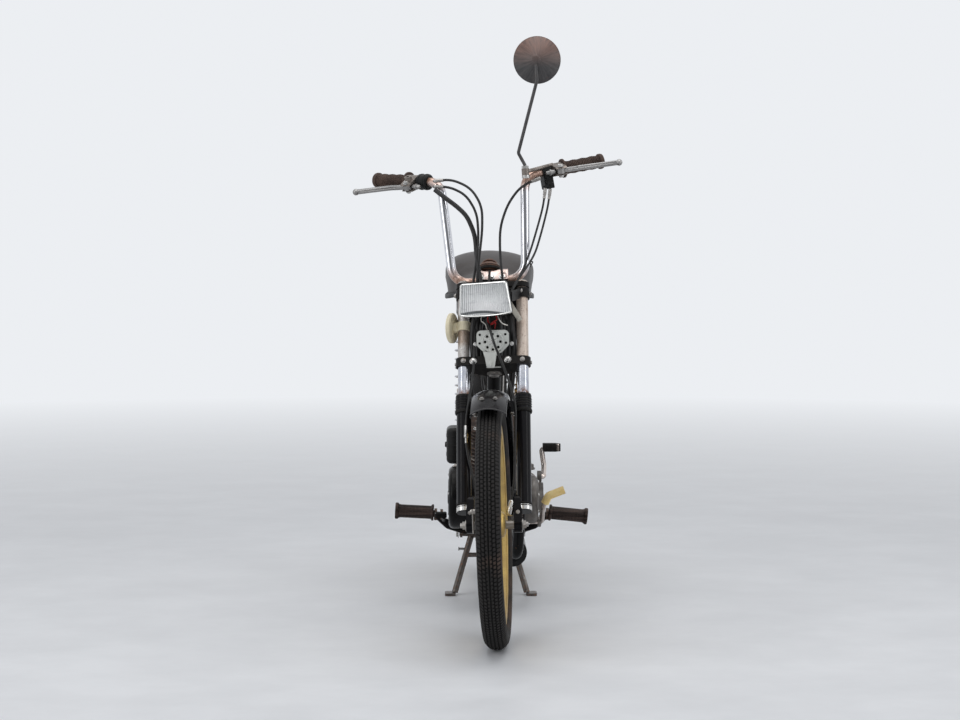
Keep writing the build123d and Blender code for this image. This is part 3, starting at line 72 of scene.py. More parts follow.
# ---------------------------------------------------------------- places
# Pieces are drawn as the CAD's are: in millimetres about the wheels' plane, with the steering straight.
# These matrices take such a drawing to the frame, in metres, as the vehicle is parked.

def turned(point, axis, degrees):
    """A turn about a line through a point."""
    point = Vector(point)
    turn = Matrix.Rotation(math.radians(degrees), 4, Vector(axis))
    return Matrix.Translation(point) @ turn @ Matrix.Translation(-point)


def axis_frame(origin, direction, across=(1, 0, 0)):
    """A matrix whose z runs along a direction from an origin, with x as near to across as it can be."""
    upward = Vector(direction).normalized()
    sideways = Vector(across) - upward * upward.dot(Vector(across))
    if sideways.length < 0.05:
        sideways = Vector((0, 0, 1)) - upward * upward.z
    sideways.normalize()
    turn = Matrix((sideways, upward.cross(sideways), upward)).transposed().to_4x4()
    return Matrix.Translation(Vector(origin)) @ turn


rake = math.radians(26)
steer_up = Vector((0, math.sin(rake), math.cos(rake)))
steer_back = Vector((0, math.cos(rake), -math.sin(rake)))
steer_foot = Vector((0, -690, 0))
middle = joints["rear_wheel_spin"]["pos_m"][0] * 1000
fork_offset = 39.77
leg_half = 69.5
park_angle, bar_twist, bar_slip, lamp_twist = 4.0, 6.8, -9.0, 6.0
lamp_centre = Vector((0, -453, 799.93))


def steer(x, y, height):
    """A point given along the steering axis: x across, y behind the axis, height up it."""
    return steer_foot + Vector((x, 0, 0)) + steer_back * y + steer_up * height


root_place = Matrix.Scale(0.001, 4) @ Matrix.Translation((middle, 0, 0))
fork_place = root_place @ turned(steer_foot, steer_up, -park_angle)
lamp_place = fork_place @ turned(steer_foot, steer_up, -lamp_twist)
bar_centre = steer(0, -25, 915)
bar_place = fork_place @ turned(bar_centre, steer_up, -bar_twist) @ Matrix.Translation((bar_slip, 0, 0))
front_axle = Vector((0, -595, 285.5))
rear_axle = Vector((0, 565, 297.5))
chain_x = -52


def circle(sides, turn=0.0):
    """The (cosine, sine) pairs of points spaced evenly round a circle."""
    angles = [turn + 2 * math.pi * k / sides for k in range(sides)]
    return [(math.cos(angle), math.sin(angle)) for angle in angles]


def on_circle(degrees, radius):
    """The (x, y) of a point on a circle."""
    angle = math.radians(degrees)
    return radius * math.cos(angle), radius * math.sin(angle)


# ---------------------------------------------------------------- materials

def feed(links, socket, value):
    """Links an output to a socket, or sets the socket's own value."""
    if isinstance(value, bpy.types.NodeSocket):
        links.new(value, socket)
    elif isinstance(value, (tuple, list)) and len(value) == 3 and socket.type == "RGBA":
        socket.default_value = (*value, 1.0)
    else:
        socket.default_value = value


def add_node(tree, kind, inputs=None, **settings):
    """A shader node with its settings made and its inputs fed."""
    made = tree.nodes.new("ShaderNode" + kind)
    for setting, value in settings.items():
        setattr(made, setting, value)
    for key, value in (inputs or {}).items():
        feed(tree.links, made.inputs[key], value)
    return made


class Finish:
    """A procedural material around one Principled shader, in object coordinates (metres)."""

    def __init__(self, name, color, roughness, metallic=0.0, **sockets):
        self.material = bpy.data.materials.new(name)
        self.material.use_nodes = True
        self.tree = self.material.node_tree
        self.shader = self.tree.nodes["Principled BSDF"]
        self.place = self.tree.nodes.new("ShaderNodeTexCoord").outputs["Object"]
        self.put("Base Color", color)
        self.put("Roughness", roughness)
        self.put("Metallic", metallic)
        for socket, value in sockets.items():
            self.put(socket.replace("_", " "), value)

    def put(self, socket, value):
        feed(self.tree.links, self.shader.inputs[socket], value)

    def node(self, kind, inputs=None, **settings):
        return add_node(self.tree, kind, inputs, **settings)

    def stretched(self, scale):
        """The place to look a texture up at, drawn out along each axis."""
        return self.node("Mapping", {"Vector": self.place, "Scale": scale}).outputs["Vector"]

    def noise(self, scale, detail=4.0, roughness=0.55, place=None):
        inputs = {"Vector": place or self.place, "Scale": scale, "Detail": detail, "Roughness": roughness}
        return self.node("TexNoise", inputs).outputs["Fac"]

    def cells(self, scale, feature="F1"):
        inputs = {"Vector": self.place, "Scale": scale}
        return self.node("TexVoronoi", inputs, feature=feature).outputs["Distance"]

    def between(self, value, low, high, to_low=0.0, to_high=1.0):
        inputs = {"Value": value, "From Min": low, "From Max": high,
                  "To Min": to_low, "To Max": to_high}
        return self.node("MapRange", inputs).outputs["Result"]

    def mix(self, amount, first, second):
        # a colour mix has its factor at input 0, its colours at 6 and 7 and its result at output 2
        return self.node("Mix", {0: amount, 6: first, 7: second}, data_type="RGBA").outputs[2]

    def math(self, operation, first, second=0.0):
        return self.node("Math", {0: first, 1: second}, operation=operation).outputs[0]

    def times(self, first, second):
        return self.math("MULTIPLY", first, second)

    def plus(self, first, second):
        return self.math("ADD", first, second)

    def most(self, first, second):
        return self.math("MAXIMUM", first, second)

    def along(self, direction):
        """How far the shaded point is along a direction, in metres."""
        inputs = {0: self.place, 1: Vector(direction)}
        return self.node("VectorMath", inputs, operation="DOT_PRODUCT").outputs["Value"]

    def distance(self, point):
        inputs = {0: self.place, 1: Vector(point)}
        return self.node("VectorMath", inputs, operation="DISTANCE").outputs["Value"]

    def facing_up(self):
        """1 where the surface faces straight up, 0 where it is upright or faces down."""
        split = self.node("SeparateXYZ", {"Vector": self.node("NewGeometry").outputs["Normal"]})
        return split.outputs["Z"]

    def bump(self, height, depth, strength=1.0):
        inputs = {"Height": height, "Distance": depth, "Strength": strength}
        self.put("Normal", self.node("Bump", inputs).outputs["Normal"])


rust_dark = (0.075, 0.035, 0.022)
rust_warm = (0.24, 0.095, 0.035)


def painted(name, color, gloss=0.22, chips=0.5, dust=0.35, rust=0.3):
    """Old gloss paint: clouded, chipped to rust in places, and dusty on what faces up."""
    made = Finish(name, color, gloss, 0.0, Specular_IOR_Level=0.11)
    cloud = made.noise(9, 5, 0.6)
    fine = made.noise(160, 6, 0.65)
    paler = tuple(min(1, c * 1.3 + 0.003) for c in color)
    shade = made.mix(made.between(cloud, 0.35, 0.7), color, paler)
    patch = made.between(made.noise(22, 5, 0.7), 0.62 - 0.12 * chips, 0.72)
    spots = made.between(made.noise(340, 5, 0.7), 0.60, 0.66)
    chip = made.times(patch, spots)
    shade = made.mix(chip, shade, made.mix(made.between(fine, 0.4, 0.6), rust_dark, rust_warm))
    dusty = made.times(made.between(made.facing_up(), 0.1, 0.95),
                      made.between(fine, 0.25, 0.75, 0.25 * dust, dust))
    shade = made.mix(dusty, shade, (0.16, 0.14, 0.12))
    made.put("Base Color", shade)
    rough = made.between(fine, 0.3, 0.7, gloss * 0.8, gloss * 1.5)
    rough = made.plus(rough, made.times(chip, 0.5))
    made.put("Roughness", made.plus(rough, made.times(dusty, 0.4)))
    made.bump(made.math("SUBTRACT", made.times(fine, 0.15), chip), 0.0003, 0.4)
    return made


def plated(name, color=(0.74, 0.74, 0.76), rough=0.09, rust=0.4, tint=None, amount=None):
    """Old chrome plate: hazed, with rust that breaks through in specks and patches."""
    made = Finish(name, color, rough, 1.0)
    haze = made.noise(26, 5, 0.6)
    patch = made.between(made.noise(17, 5, 0.7), 0.60 - 0.22 * rust, 0.70)
    specks = made.between(made.noise(420, 4, 0.7), 0.585, 0.64)
    spots = made.times(patch, specks)
    flush = amount(made) if amount is not None else None
    if amount is not None:
        spread = made.between(made.noise(70, 6, 0.7), 0.35, 0.62)
        spots = made.most(spots, made.times(flush, spread))
    base = made.mix(made.between(haze, 0.35, 0.65), color, tint or tuple(c * 0.8 for c in color))
    if amount is not None:
        base = made.mix(flush, base, (0.70, 0.47, 0.37))
    brown = made.mix(made.noise(260, 4), rust_dark, rust_warm)
    made.put("Base Color", made.mix(spots, base, brown))
    made.put("Metallic", made.between(spots, 0, 1, 1.0, 0.15))
    cloudy = made.between(haze, 0.3, 0.7, rough * 0.7, rough * 2.2)
    made.put("Roughness", made.plus(cloudy, made.times(spots, 0.5)))
    made.bump(spots, 0.0002, 0.5)
    return made


def bare_metal(name, color, rough=0.38, dirt=0.5, rust=0.2, grain=0.0, metallic=0.95):
    """Cast or turned metal with a fine grain, dirt in patches and a little rust."""
    made = Finish(name, color, rough, metallic)
    coarse = made.noise(30, 6, 0.7)
    fine = made.noise(700, 4, 0.6)
    cloud = made.noise(8, 3)
    dull = tuple(c * 0.55 for c in color)
    shade = made.mix(made.between(cloud, 0.35, 0.7), color, dull)
    grime = made.between(coarse, 0.62 - 0.22 * dirt, 0.74)
    shade = made.mix(made.times(grime, 0.85), shade, (0.045, 0.036, 0.03))
    spots = made.times(made.between(made.noise(150, 5, 0.7), 0.6, 0.66),
                      made.between(made.noise(19, 4), 0.60 - 0.2 * rust, 0.68))
    shade = made.mix(spots, shade, rust_warm)
    made.put("Base Color", shade)
    stained = made.most(grime, spots)
    made.put("Metallic", made.between(stained, 0, 1, metallic, 0.1))
    made.put("Roughness", made.plus(made.between(fine, 0.3, 0.7, rough * 0.85, rough * 1.25),
                                    made.times(stained, 0.3)))
    made.bump(made.plus(made.times(fine, 0.5 + grain), coarse), 0.00035, 0.35)
    return made


def rusted(name, pale, deep, metal=0.35, rough=0.62):
    """Steel or iron that is rusty all over, with darker and paler scale."""
    made = Finish(name, pale, rough, metal)
    cloud = made.noise(24, 7, 0.72)
    scale = made.noise(210, 6, 0.7)
    crust = made.cells(520)
    shade = made.mix(made.between(cloud, 0.38, 0.64), deep, pale)
    shade = made.mix(made.between(scale, 0.55, 0.68), shade, rust_warm)
    shade = made.mix(made.between(made.noise(60, 5), 0.58, 0.7, 0.0, 0.7), shade, (0.33, 0.30, 0.27))
    made.put("Base Color", shade)
    made.put("Roughness", made.between(scale, 0.3, 0.7, rough * 0.75, min(1.0, rough * 1.3)))
    made.bump(made.plus(scale, made.times(crust, 0.4)), 0.0005, 0.6)
    return made


def plastic(name, color, rough=0.42, grain=0.3, fade=0.5):
    """Moulded plastic with a fine texture, faded and dusty in places."""
    made = Finish(name, color, rough, 0.0, Specular_IOR_Level=0.16)
    cloud = made.noise(14, 5, 0.65)
    fine = made.noise(900, 3, 0.6)
    faded = tuple(min(1, c * 1.35 + 0.02 * fade) for c in color)
    shade = made.mix(made.between(cloud, 0.35, 0.7), color, faded)
    dusty = made.times(made.between(made.facing_up(), 0.2, 1.0), 0.3 * fade)
    made.put("Base Color", made.mix(dusty, shade, (0.25, 0.22, 0.19)))
    made.put("Roughness", made.between(fine, 0.3, 0.7, rough * 0.8, rough * 1.2))
    made.bump(made.plus(fine, made.times(made.cells(600), 0.5)), 0.0002, grain)
    return made


def rubber(name, color, worn, rough=0.7, streaks=1.0):
    """Old rubber: matt, worn paler in patches or in streaks along it, finely cracked."""
    made = Finish(name, color, rough, 0.0, Specular_IOR_Level=0.18)
    cloud = made.noise(28, 6, 0.7, place=made.stretched((1 / streaks, streaks, streaks)))
    fine = made.noise(420, 5, 0.7)
    shade = made.mix(made.between(cloud, 0.38, 0.66), color, worn)
    shade = made.mix(made.between(fine, 0.56, 0.7, 0.0, 0.6), shade, tuple(c * 0.45 for c in color))
    made.put("Base Color", shade)
    made.put("Roughness", made.between(fine, 0.3, 0.7, rough * 0.85, min(1.0, rough * 1.2)))
    crack = made.cells(380, feature="DISTANCE_TO_EDGE")
    made.bump(made.plus(fine, made.between(crack, 0.0, 0.12)), 0.0003, 0.35)
    return made


def tyre_rubber():
    """Tyre rubber: a dusty brown bloom in patches and grey scuffing; the dark grooves are painted shade, given by the
    groove rubber.
    """
    made = Finish("tyre_rubber", (0.02, 0.019, 0.019), 0.78, 0.0, Specular_IOR_Level=0.18)
    cloud = made.noise(7, 4, 0.6)
    fine = made.noise(300, 5, 0.7)
    grit = made.noise(1500, 2, 0.6)
    shade = made.mix(made.between(fine, 0.35, 0.7), (0.017, 0.0165, 0.0165), (0.046, 0.043, 0.041))
    bloom = made.times(made.between(cloud, 0.56, 0.68, 0.0, 0.7), fine)
    shade = made.mix(bloom, shade, (0.17, 0.105, 0.075))
    made.put("Base Color", shade)
    made.put("Roughness", made.between(fine, 0.3, 0.7, 0.68, 0.9))
    made.bump(made.plus(fine, made.times(grit, 0.4)), 0.0003, 0.35)
    return made


def vinyl():
    """Grained seat vinyl, dark brown-grey, paler on what faces up: painted light from above, along with the rubbed
    crown.
    """
    made = Finish("seat_cover", (0.03, 0.025, 0.023), 0.38, 0.0, Specular_IOR_Level=0.26)
    cloud = made.noise(11, 4, 0.6)
    pebble = made.cells(620)
    crease = made.noise(60, 6, 0.7, place=made.stretched((1.0, 3.0, 1.0)))
    shade = made.mix(made.between(cloud, 0.38, 0.66), (0.023, 0.019, 0.0175), (0.044, 0.035, 0.032))
    # painted light: faces turned up are paler, along with the crown's rubbing
    top = made.between(made.facing_up(), 0.45, 1.0, 0.0, 0.4)
    shade = made.mix(top, shade, (0.07, 0.06, 0.056))
    shade = made.mix(made.between(crease, 0.6, 0.72, 0.0, 0.4), shade, (0.018, 0.015, 0.015))
    made.put("Base Color", shade)
    made.put("Roughness", made.between(cloud, 0.3, 0.7, 0.32, 0.5))
    made.bump(made.plus(made.times(pebble, 0.6), crease), 0.0004, 0.3)
    return made


def sheath(name, color, rough=0.4):
    """Cable sheath: smooth, faintly ringed by its wire, with grime."""
    made = Finish(name, color, rough, 0.0, Specular_IOR_Level=0.3)
    cloud = made.noise(45, 5, 0.65)
    made.put("Base Color", made.mix(made.between(cloud, 0.4, 0.7), color,
                                    tuple(c * 1.8 + 0.004 for c in color)))
    made.put("Roughness", made.between(cloud, 0.3, 0.7, rough * 0.8, rough * 1.3))
    made.bump(made.noise(500, 3), 0.0002, 0.25)
    return made


def streaked_back():
    """The mirror's painted back: rusty brown above, dark below, with streaks out from its middle; the change from
    brown above to dark below is painted light and shade.
    """
    made = Finish("mirror_shell", (0.1, 0.055, 0.045), 0.42, 0.15)
    low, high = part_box("mirror")
    centre = Vector(((high.x + low.x) / 2, low.y + 0.03, high.z - 0.0565))
    across = made.math("SUBTRACT", made.along((1, 0, 0)), centre.x)
    upwards = made.math("SUBTRACT", made.along((0, 0, 1)), centre.z)
    angle = made.math("ARCTAN2", across, upwards)
    ring = made.distance(centre)
    fan = made.node("CombineXYZ", {"X": made.times(angle, 0.7),
                                   "Y": made.times(ring, 3.0)}).outputs["Vector"]
    rays = made.noise(9, 6, 0.7, place=fan)
    # painted light and shade: the rusty back is paler brown above and dark below
    upper = made.between(upwards, -0.018, 0.03)
    mottle = made.noise(120, 6, 0.7)
    brown = made.mix(made.between(rays, 0.35, 0.65), (0.085, 0.05, 0.042), (0.2, 0.115, 0.09))
    dark = made.mix(made.between(rays, 0.35, 0.65), (0.035, 0.034, 0.036), (0.085, 0.08, 0.08))
    shade = made.mix(upper, dark, brown)
    made.put("Base Color", made.mix(made.between(mottle, 0.6, 0.7, 0.0, 0.6), shade, rust_dark))
    made.put("Roughness", made.between(rays, 0.3, 0.7, 0.32, 0.58))
    made.bump(mottle, 0.0002, 0.4)
    return made


def fork_tube():
    """The stanchions: dull and mottled between the yokes, brighter below, rusty above the dust boots."""
    made = Finish("stanchion_tube", (0.62, 0.61, 0.62), 0.16, 1.0)
    rise = made.plus(made.along(steer_up), 0.690 * math.sin(rake))
    rider_left = made.between(made.along((1, 0, 0)), 0.0, 0.02)
    upper = made.between(rise, 0.705, 0.712)
    speck = made.between(made.noise(330, 5, 0.7), 0.57, 0.63)
    cloud = made.noise(18, 5, 0.65, place=made.stretched((2.0, 2.0, 0.6)))
    beige = made.mix(made.between(cloud, 0.35, 0.65), (0.47, 0.37, 0.30), (0.62, 0.54, 0.47))
    grey = made.mix(made.between(cloud, 0.42, 0.6), (0.34, 0.31, 0.29), (0.62, 0.60, 0.58))
    brown_band = made.times(made.between(rise, 0.735, 0.75),
                           made.between(rise, 0.775, 0.79, 1.0, 0.0))
    grey = made.mix(made.times(brown_band, 0.6), grey, (0.30, 0.19, 0.11))
    top_shade = made.mix(rider_left, grey, beige)
    blue = made.mix(made.between(cloud, 0.4, 0.6), (0.62, 0.63, 0.67), (0.42, 0.44, 0.50))
    shade = made.mix(upper, blue, top_shade)
    low_rust = made.times(made.between(rise, 0.622, 0.638, 1.0, 0.0),
                         made.between(made.noise(90, 5, 0.7), 0.38, 0.58))
    rust = made.most(made.times(speck, made.between(upper, 0, 1, 0.25, 0.9)), low_rust)
    made.put("Base Color", made.mix(rust, shade, made.mix(made.noise(200), rust_dark, rust_warm)))
    made.put("Metallic", made.math("SUBTRACT", made.between(upper, 0, 1, 1.0, 0.45),
                                   made.times(rust, 0.4)))
    made.put("Roughness", made.plus(made.between(upper, 0, 1, 0.13, 0.36),
                                    made.times(rust, 0.4)))
    made.bump(rust, 0.0002, 0.5)
    return made


def bar_chrome():
    """The handlebar: bright uprights, pink-brown rust round its bends."""
    def bends(made):
        low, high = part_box("handlebar")
        sunk = made.between(made.along((0, 0, 1)), low.z + 0.02, low.z + 0.05, 0.85, 0.0)
        lofty = made.between(made.along((0, 0, 1)), high.z - 0.085, high.z - 0.055, 0.0, 0.9)
        return made.most(sunk, lofty)
    return plated("bar_chrome", (0.74, 0.75, 0.78), 0.07, 0.25, tint=(0.62, 0.62, 0.65), amount=bends)


def gold():
    """Satin gold rim, dusty, with dull patches and dark specks of brake dust."""
    made = Finish("rim_gold", (0.56, 0.40, 0.13), 0.36, 0.75)
    cloud = made.noise(12, 5, 0.65)
    fine = made.noise(380, 5, 0.7)
    shade = made.mix(made.between(cloud, 0.36, 0.66), (0.60, 0.42, 0.13), (0.36, 0.24, 0.085))
    shade = made.mix(made.between(fine, 0.56, 0.68, 0.0, 0.55), shade, (0.12, 0.075, 0.04))
    made.put("Base Color", shade)
    made.put("Roughness", made.between(fine, 0.3, 0.7, 0.28, 0.5))
    made.bump(fine, 0.0002, 0.4)
    return made


def glass():
    """Ribbed or plain glass, seen through by its alpha so that what is behind it stays lit."""
    made = Finish("clear_glass", (0.93, 0.95, 0.96), 0.05, 0.0, IOR=1.48, Coat_Weight=0.3)
    made.put("Roughness", made.between(made.noise(40, 5), 0.45, 0.7, 0.03, 0.14))
    made.put("Alpha", made.between(made.noise(25, 4), 0.35, 0.7, 0.16, 0.3))
    made.material.surface_render_method = "BLENDED"
    return made


def lamp_height(made):
    """Heights above the headlamp's middle, and how far to the side of it, in metres."""
    core = lamp_place @ lamp_centre
    return (made.math("SUBTRACT", made.along((0, 0, 1)), core.z),
            made.math("SUBTRACT", made.along((1, 0, 0)), core.x))


def ribbed_glass():
    """The headlamp's glass: upright ribs, strongest at its sides and top, over the silver behind it, with light and
    shade painted into its colour: darker painted shade lines on the ribs and a painted reflection of the reflector,
    dim above, bright below the bulb, with a painted dark crescent low down.
    """
    made = Finish("ribbed_glass", (0.93, 0.95, 0.95), 0.08, 0.0, IOR=1.48)
    rise, aside = lamp_height(made)
    wave = made.math("SINE", made.times(made.along((1, 0, 0)), 2 * math.pi / 0.0046))
    sides = made.between(made.math("ABSOLUTE", aside), 0.02, 0.048)
    # painted shade: darker lines along the ribs, strongest at the sides and top
    strength = made.most(sides, made.between(rise, -0.004, 0.022))
    haze = made.noise(46, 5, 0.6)
    lines = made.times(made.times(made.between(wave, 0.0, 0.9), strength),
                      made.between(haze, 0.2, 0.55, 0.35, 0.9))
    smear = made.noise(60, 5, 0.65, place=made.stretched((0.35, 1.0, 1.7)))
    # painted reflection of the silver behind the glass: bright low down, dim above
    shade = made.mix(made.between(rise, -0.006, 0.034), (0.96, 0.97, 0.97), (0.74, 0.76, 0.76))
    shade = made.mix(made.between(smear, 0.54, 0.68, 0.0, 0.6), shade, (0.50, 0.52, 0.53))
    # painted highlight: a bright patch below the bulb
    bright = made.times(made.between(rise, -0.013, -0.006, 1.0, 0.0),
                       made.between(made.math("ABSOLUTE", aside), 0.026, 0.046, 1.0, 0.0))
    shade = made.mix(bright, shade, (1.0, 1.0, 1.0))
    # painted shade: a dark crescent low on the glass
    shade_curve = made.plus(rise, made.times(made.times(aside, aside), 2.4))
    dark = made.times(made.between(shade_curve, -0.0285, -0.0265, 1.0, 0.0),
                     made.between(shade_curve, -0.0345, -0.033, 0.25, 1.0))
    shade = made.mix(dark, shade, (0.13, 0.14, 0.145))
    made.put("Base Color", made.mix(lines, shade, (0.30, 0.31, 0.32)))
    made.put("Alpha", made.between(haze, 0.35, 0.65, 0.86, 0.96))
    made.put("Roughness", made.between(haze, 0.3, 0.7, 0.05, 0.2))
    made.bump(wave, 0.0006, 0.5)
    made.material.surface_render_method = "BLENDED"
    return made


def lamp_silver():
    """The reflector: hazy silver with painted light and shade, dim above, a painted highlight below the bulb, and a
    painted dark crescent at its foot.
    """
    made = Finish("lamp_reflector", (0.85, 0.86, 0.87), 0.3, 0.25)
    rise, aside = lamp_height(made)
    cloud = made.noise(55, 5, 0.65, place=made.stretched((0.45, 1.0, 1.5)))
    # painted light and shade: bright low down, dim above
    shade = made.mix(made.between(rise, -0.004, 0.034), (0.86, 0.87, 0.87), (0.50, 0.52, 0.53))
    shade = made.mix(made.between(cloud, 0.42, 0.6), shade, (0.62, 0.64, 0.65))
    # painted highlight below the bulb
    bright = made.times(made.between(rise, -0.012, -0.006, 1.0, 0.0),
                       made.between(made.math("ABSOLUTE", aside), 0.03, 0.05, 1.0, 0.0))
    shade = made.mix(bright, shade, (1.0, 1.0, 1.0))
    # painted shade: a dark crescent at the reflector's foot
    shade_curve = made.plus(rise, made.times(made.times(aside, aside), 2.2))
    shade = made.mix(made.between(shade_curve, -0.0275, -0.0255, 1.0, 0.0), shade, (0.07, 0.08, 0.085))
    made.put("Base Color", shade)
    made.put("Roughness", made.between(cloud, 0.3, 0.7, 0.2, 0.42))
    made.bump(cloud, 0.0004, 0.3)
    return made


def red_glass():
    made = Finish("red_lens", (0.42, 0.012, 0.012), 0.12, 0.0, Coat_Weight=0.5)
    steps = made.math("SINE", made.times(made.along((1, 0, 0)), 1900))
    made.put("Base Color", made.mix(made.between(made.noise(60, 5), 0.4, 0.7), (0.42, 0.012, 0.012),
                                    (0.2, 0.01, 0.012)))
    made.put("Roughness", made.between(made.noise(200), 0.3, 0.7, 0.08, 0.2))
    made.bump(steps, 0.0006, 0.6)
    return made


black = painted("black_paint", (0.0045, 0.0045, 0.005), 0.18, dust=0.12)
fork_black = painted("fork_black", (0.0035, 0.0035, 0.005), 0.14, chips=0.25, dust=0.08)
yoke_black = painted("yoke_black", (0.006, 0.0055, 0.0055), 0.34, chips=1.1, dust=0.14)
chrome = plated("chrome", rust=0.35)
pink_chrome = plated("clamp_chrome", (0.60, 0.49, 0.45), 0.26, 0.8, tint=(0.50, 0.36, 0.31))
rusty_chrome = plated("rusty_chrome", (0.66, 0.60, 0.56), 0.16, 1.2, tint=(0.5, 0.42, 0.37))
# worn paint with a painted highlight: paler than the black, for the front mudguard's edges
worn_highlit_edge = painted("worn_highlit_edge", (0.05, 0.05, 0.052), 0.25, chips=1.2, dust=0.3)
steel = bare_metal("dull_steel", (0.42, 0.40, 0.38), 0.36, 0.4, 0.5)
bright_steel = bare_metal("bright_steel", (0.66, 0.65, 0.63), 0.24, 0.1, 0.2)
alloy = bare_metal("cast_alloy", (0.26, 0.245, 0.23), 0.44, 1.1, 0.4, grain=0.4)
lever_alloy = bare_metal("lever_alloy", (0.42, 0.41, 0.40), 0.4, 0.2, 0.05)
perch_alloy = bare_metal("perch_alloy", (0.34, 0.30, 0.27), 0.45, 0.7, 0.9)
iron = rusted("rusty_iron", (0.085, 0.06, 0.048), (0.03, 0.02, 0.017), 0.3, 0.68)
brown_steel = rusted("rusty_steel", (0.15, 0.11, 0.09), (0.055, 0.034, 0.026), 0.5, 0.5)
dome_rust = rusted("dome_rust", (0.17, 0.085, 0.055), (0.09, 0.045, 0.032), 0.2, 0.5)
stand_steel = rusted("stand_steel", (0.14, 0.128, 0.118), (0.06, 0.046, 0.038), 0.55, 0.42)
moulded = plastic("black_plastic", (0.009, 0.009, 0.009), fade=0.2)
lamp_plastic = plastic("lamp_plastic", (0.014, 0.014, 0.015), 0.36, fade=0.3)
cream = plastic("cream_plastic", (0.66, 0.60, 0.44), 0.5, 0.3, 0.3)
grip_rubber = rubber("grip_rubber", (0.055, 0.038, 0.032), (0.115, 0.078, 0.062))
peg_rubber = rubber("peg_rubber", (0.010, 0.007, 0.006), (0.10, 0.068, 0.058), 0.5, streaks=4.0)
dark_rubber = rubber("dark_rubber", (0.010, 0.0095, 0.009), (0.022, 0.02, 0.0185))
yellow = rubber("yellow_rubber", (0.86, 0.63, 0.26), (0.92, 0.76, 0.42), 0.5)
horn_paint = painted("horn_paint", (0.60, 0.61, 0.58), 0.32, chips=1.2, dust=0.2)
tread_rubber = tyre_rubber()
# painted shade for the tyre's groove floors and slots
groove_shade_rubber = rubber("tyre_groove_shade", (0.010, 0.010, 0.010), (0.018, 0.016, 0.015), 0.9)
seat_cover = vinyl()
cable_black = sheath("cable_sheath", (0.015, 0.0145, 0.0145))
mirror_shell = streaked_back()
stanchion_tube = fork_tube()
bar_finish = bar_chrome()
rim_gold = gold()
clear_glass = glass()
lamp_ribs = ribbed_glass()
red_lens = red_glass()
red_wire = sheath("red_wire", (0.32, 0.012, 0.012))
white_wire = sheath("white_wire", (0.62, 0.6, 0.55))

slot_finish = {
    "black_paint": black, "chrome": chrome, "dull_steel": steel, "cast_alloy": alloy,
    "rusty_iron": iron, "rusty_steel": brown_steel, "black_plastic": moulded,
    "aged_rubber": grip_rubber, "yellow_rubber": yellow, "seat_vinyl": seat_cover,
    "red_lens": red_lens, "lamp_glass": clear_glass, "horn_grey": horn_paint,
    "cream_plastic": cream, "mirror_back": mirror_shell, "tyre": tread_rubber,
    "cable_sheath": cable_black, "gold_alloy": rim_gold,
}
node_finish = {
    "stanchions": stanchion_tube, "handlebar": bar_finish, "fork_legs": fork_black,
    "front_mudguard": fork_black, "lower_yoke": yoke_black, "top_yoke": yoke_black,
    "levers": lever_alloy, "lever_perches": perch_alloy, "speedometer": dome_rust,
    "headlamp_bracket": yoke_black, "kick_lever": rusty_chrome, "peg_rubbers": peg_rubber,
    "centre_stand": stand_steel, "gear_lever": rusty_chrome, "headlamp_shell": lamp_plastic,
    "footpeg_bar": yoke_black, "main_frame": yoke_black, "exhaust": black,
}
node_slot = {part["node"]: part["material_slot"] for part in frame["record"]["subparts"]}
for name, slot in node_slot.items():
    data = nodes[name].data
    data.materials.clear()
    data.materials.append(node_finish.get(name, slot_finish[slot]).material)


# ---------------------------------------------------------------- making pieces

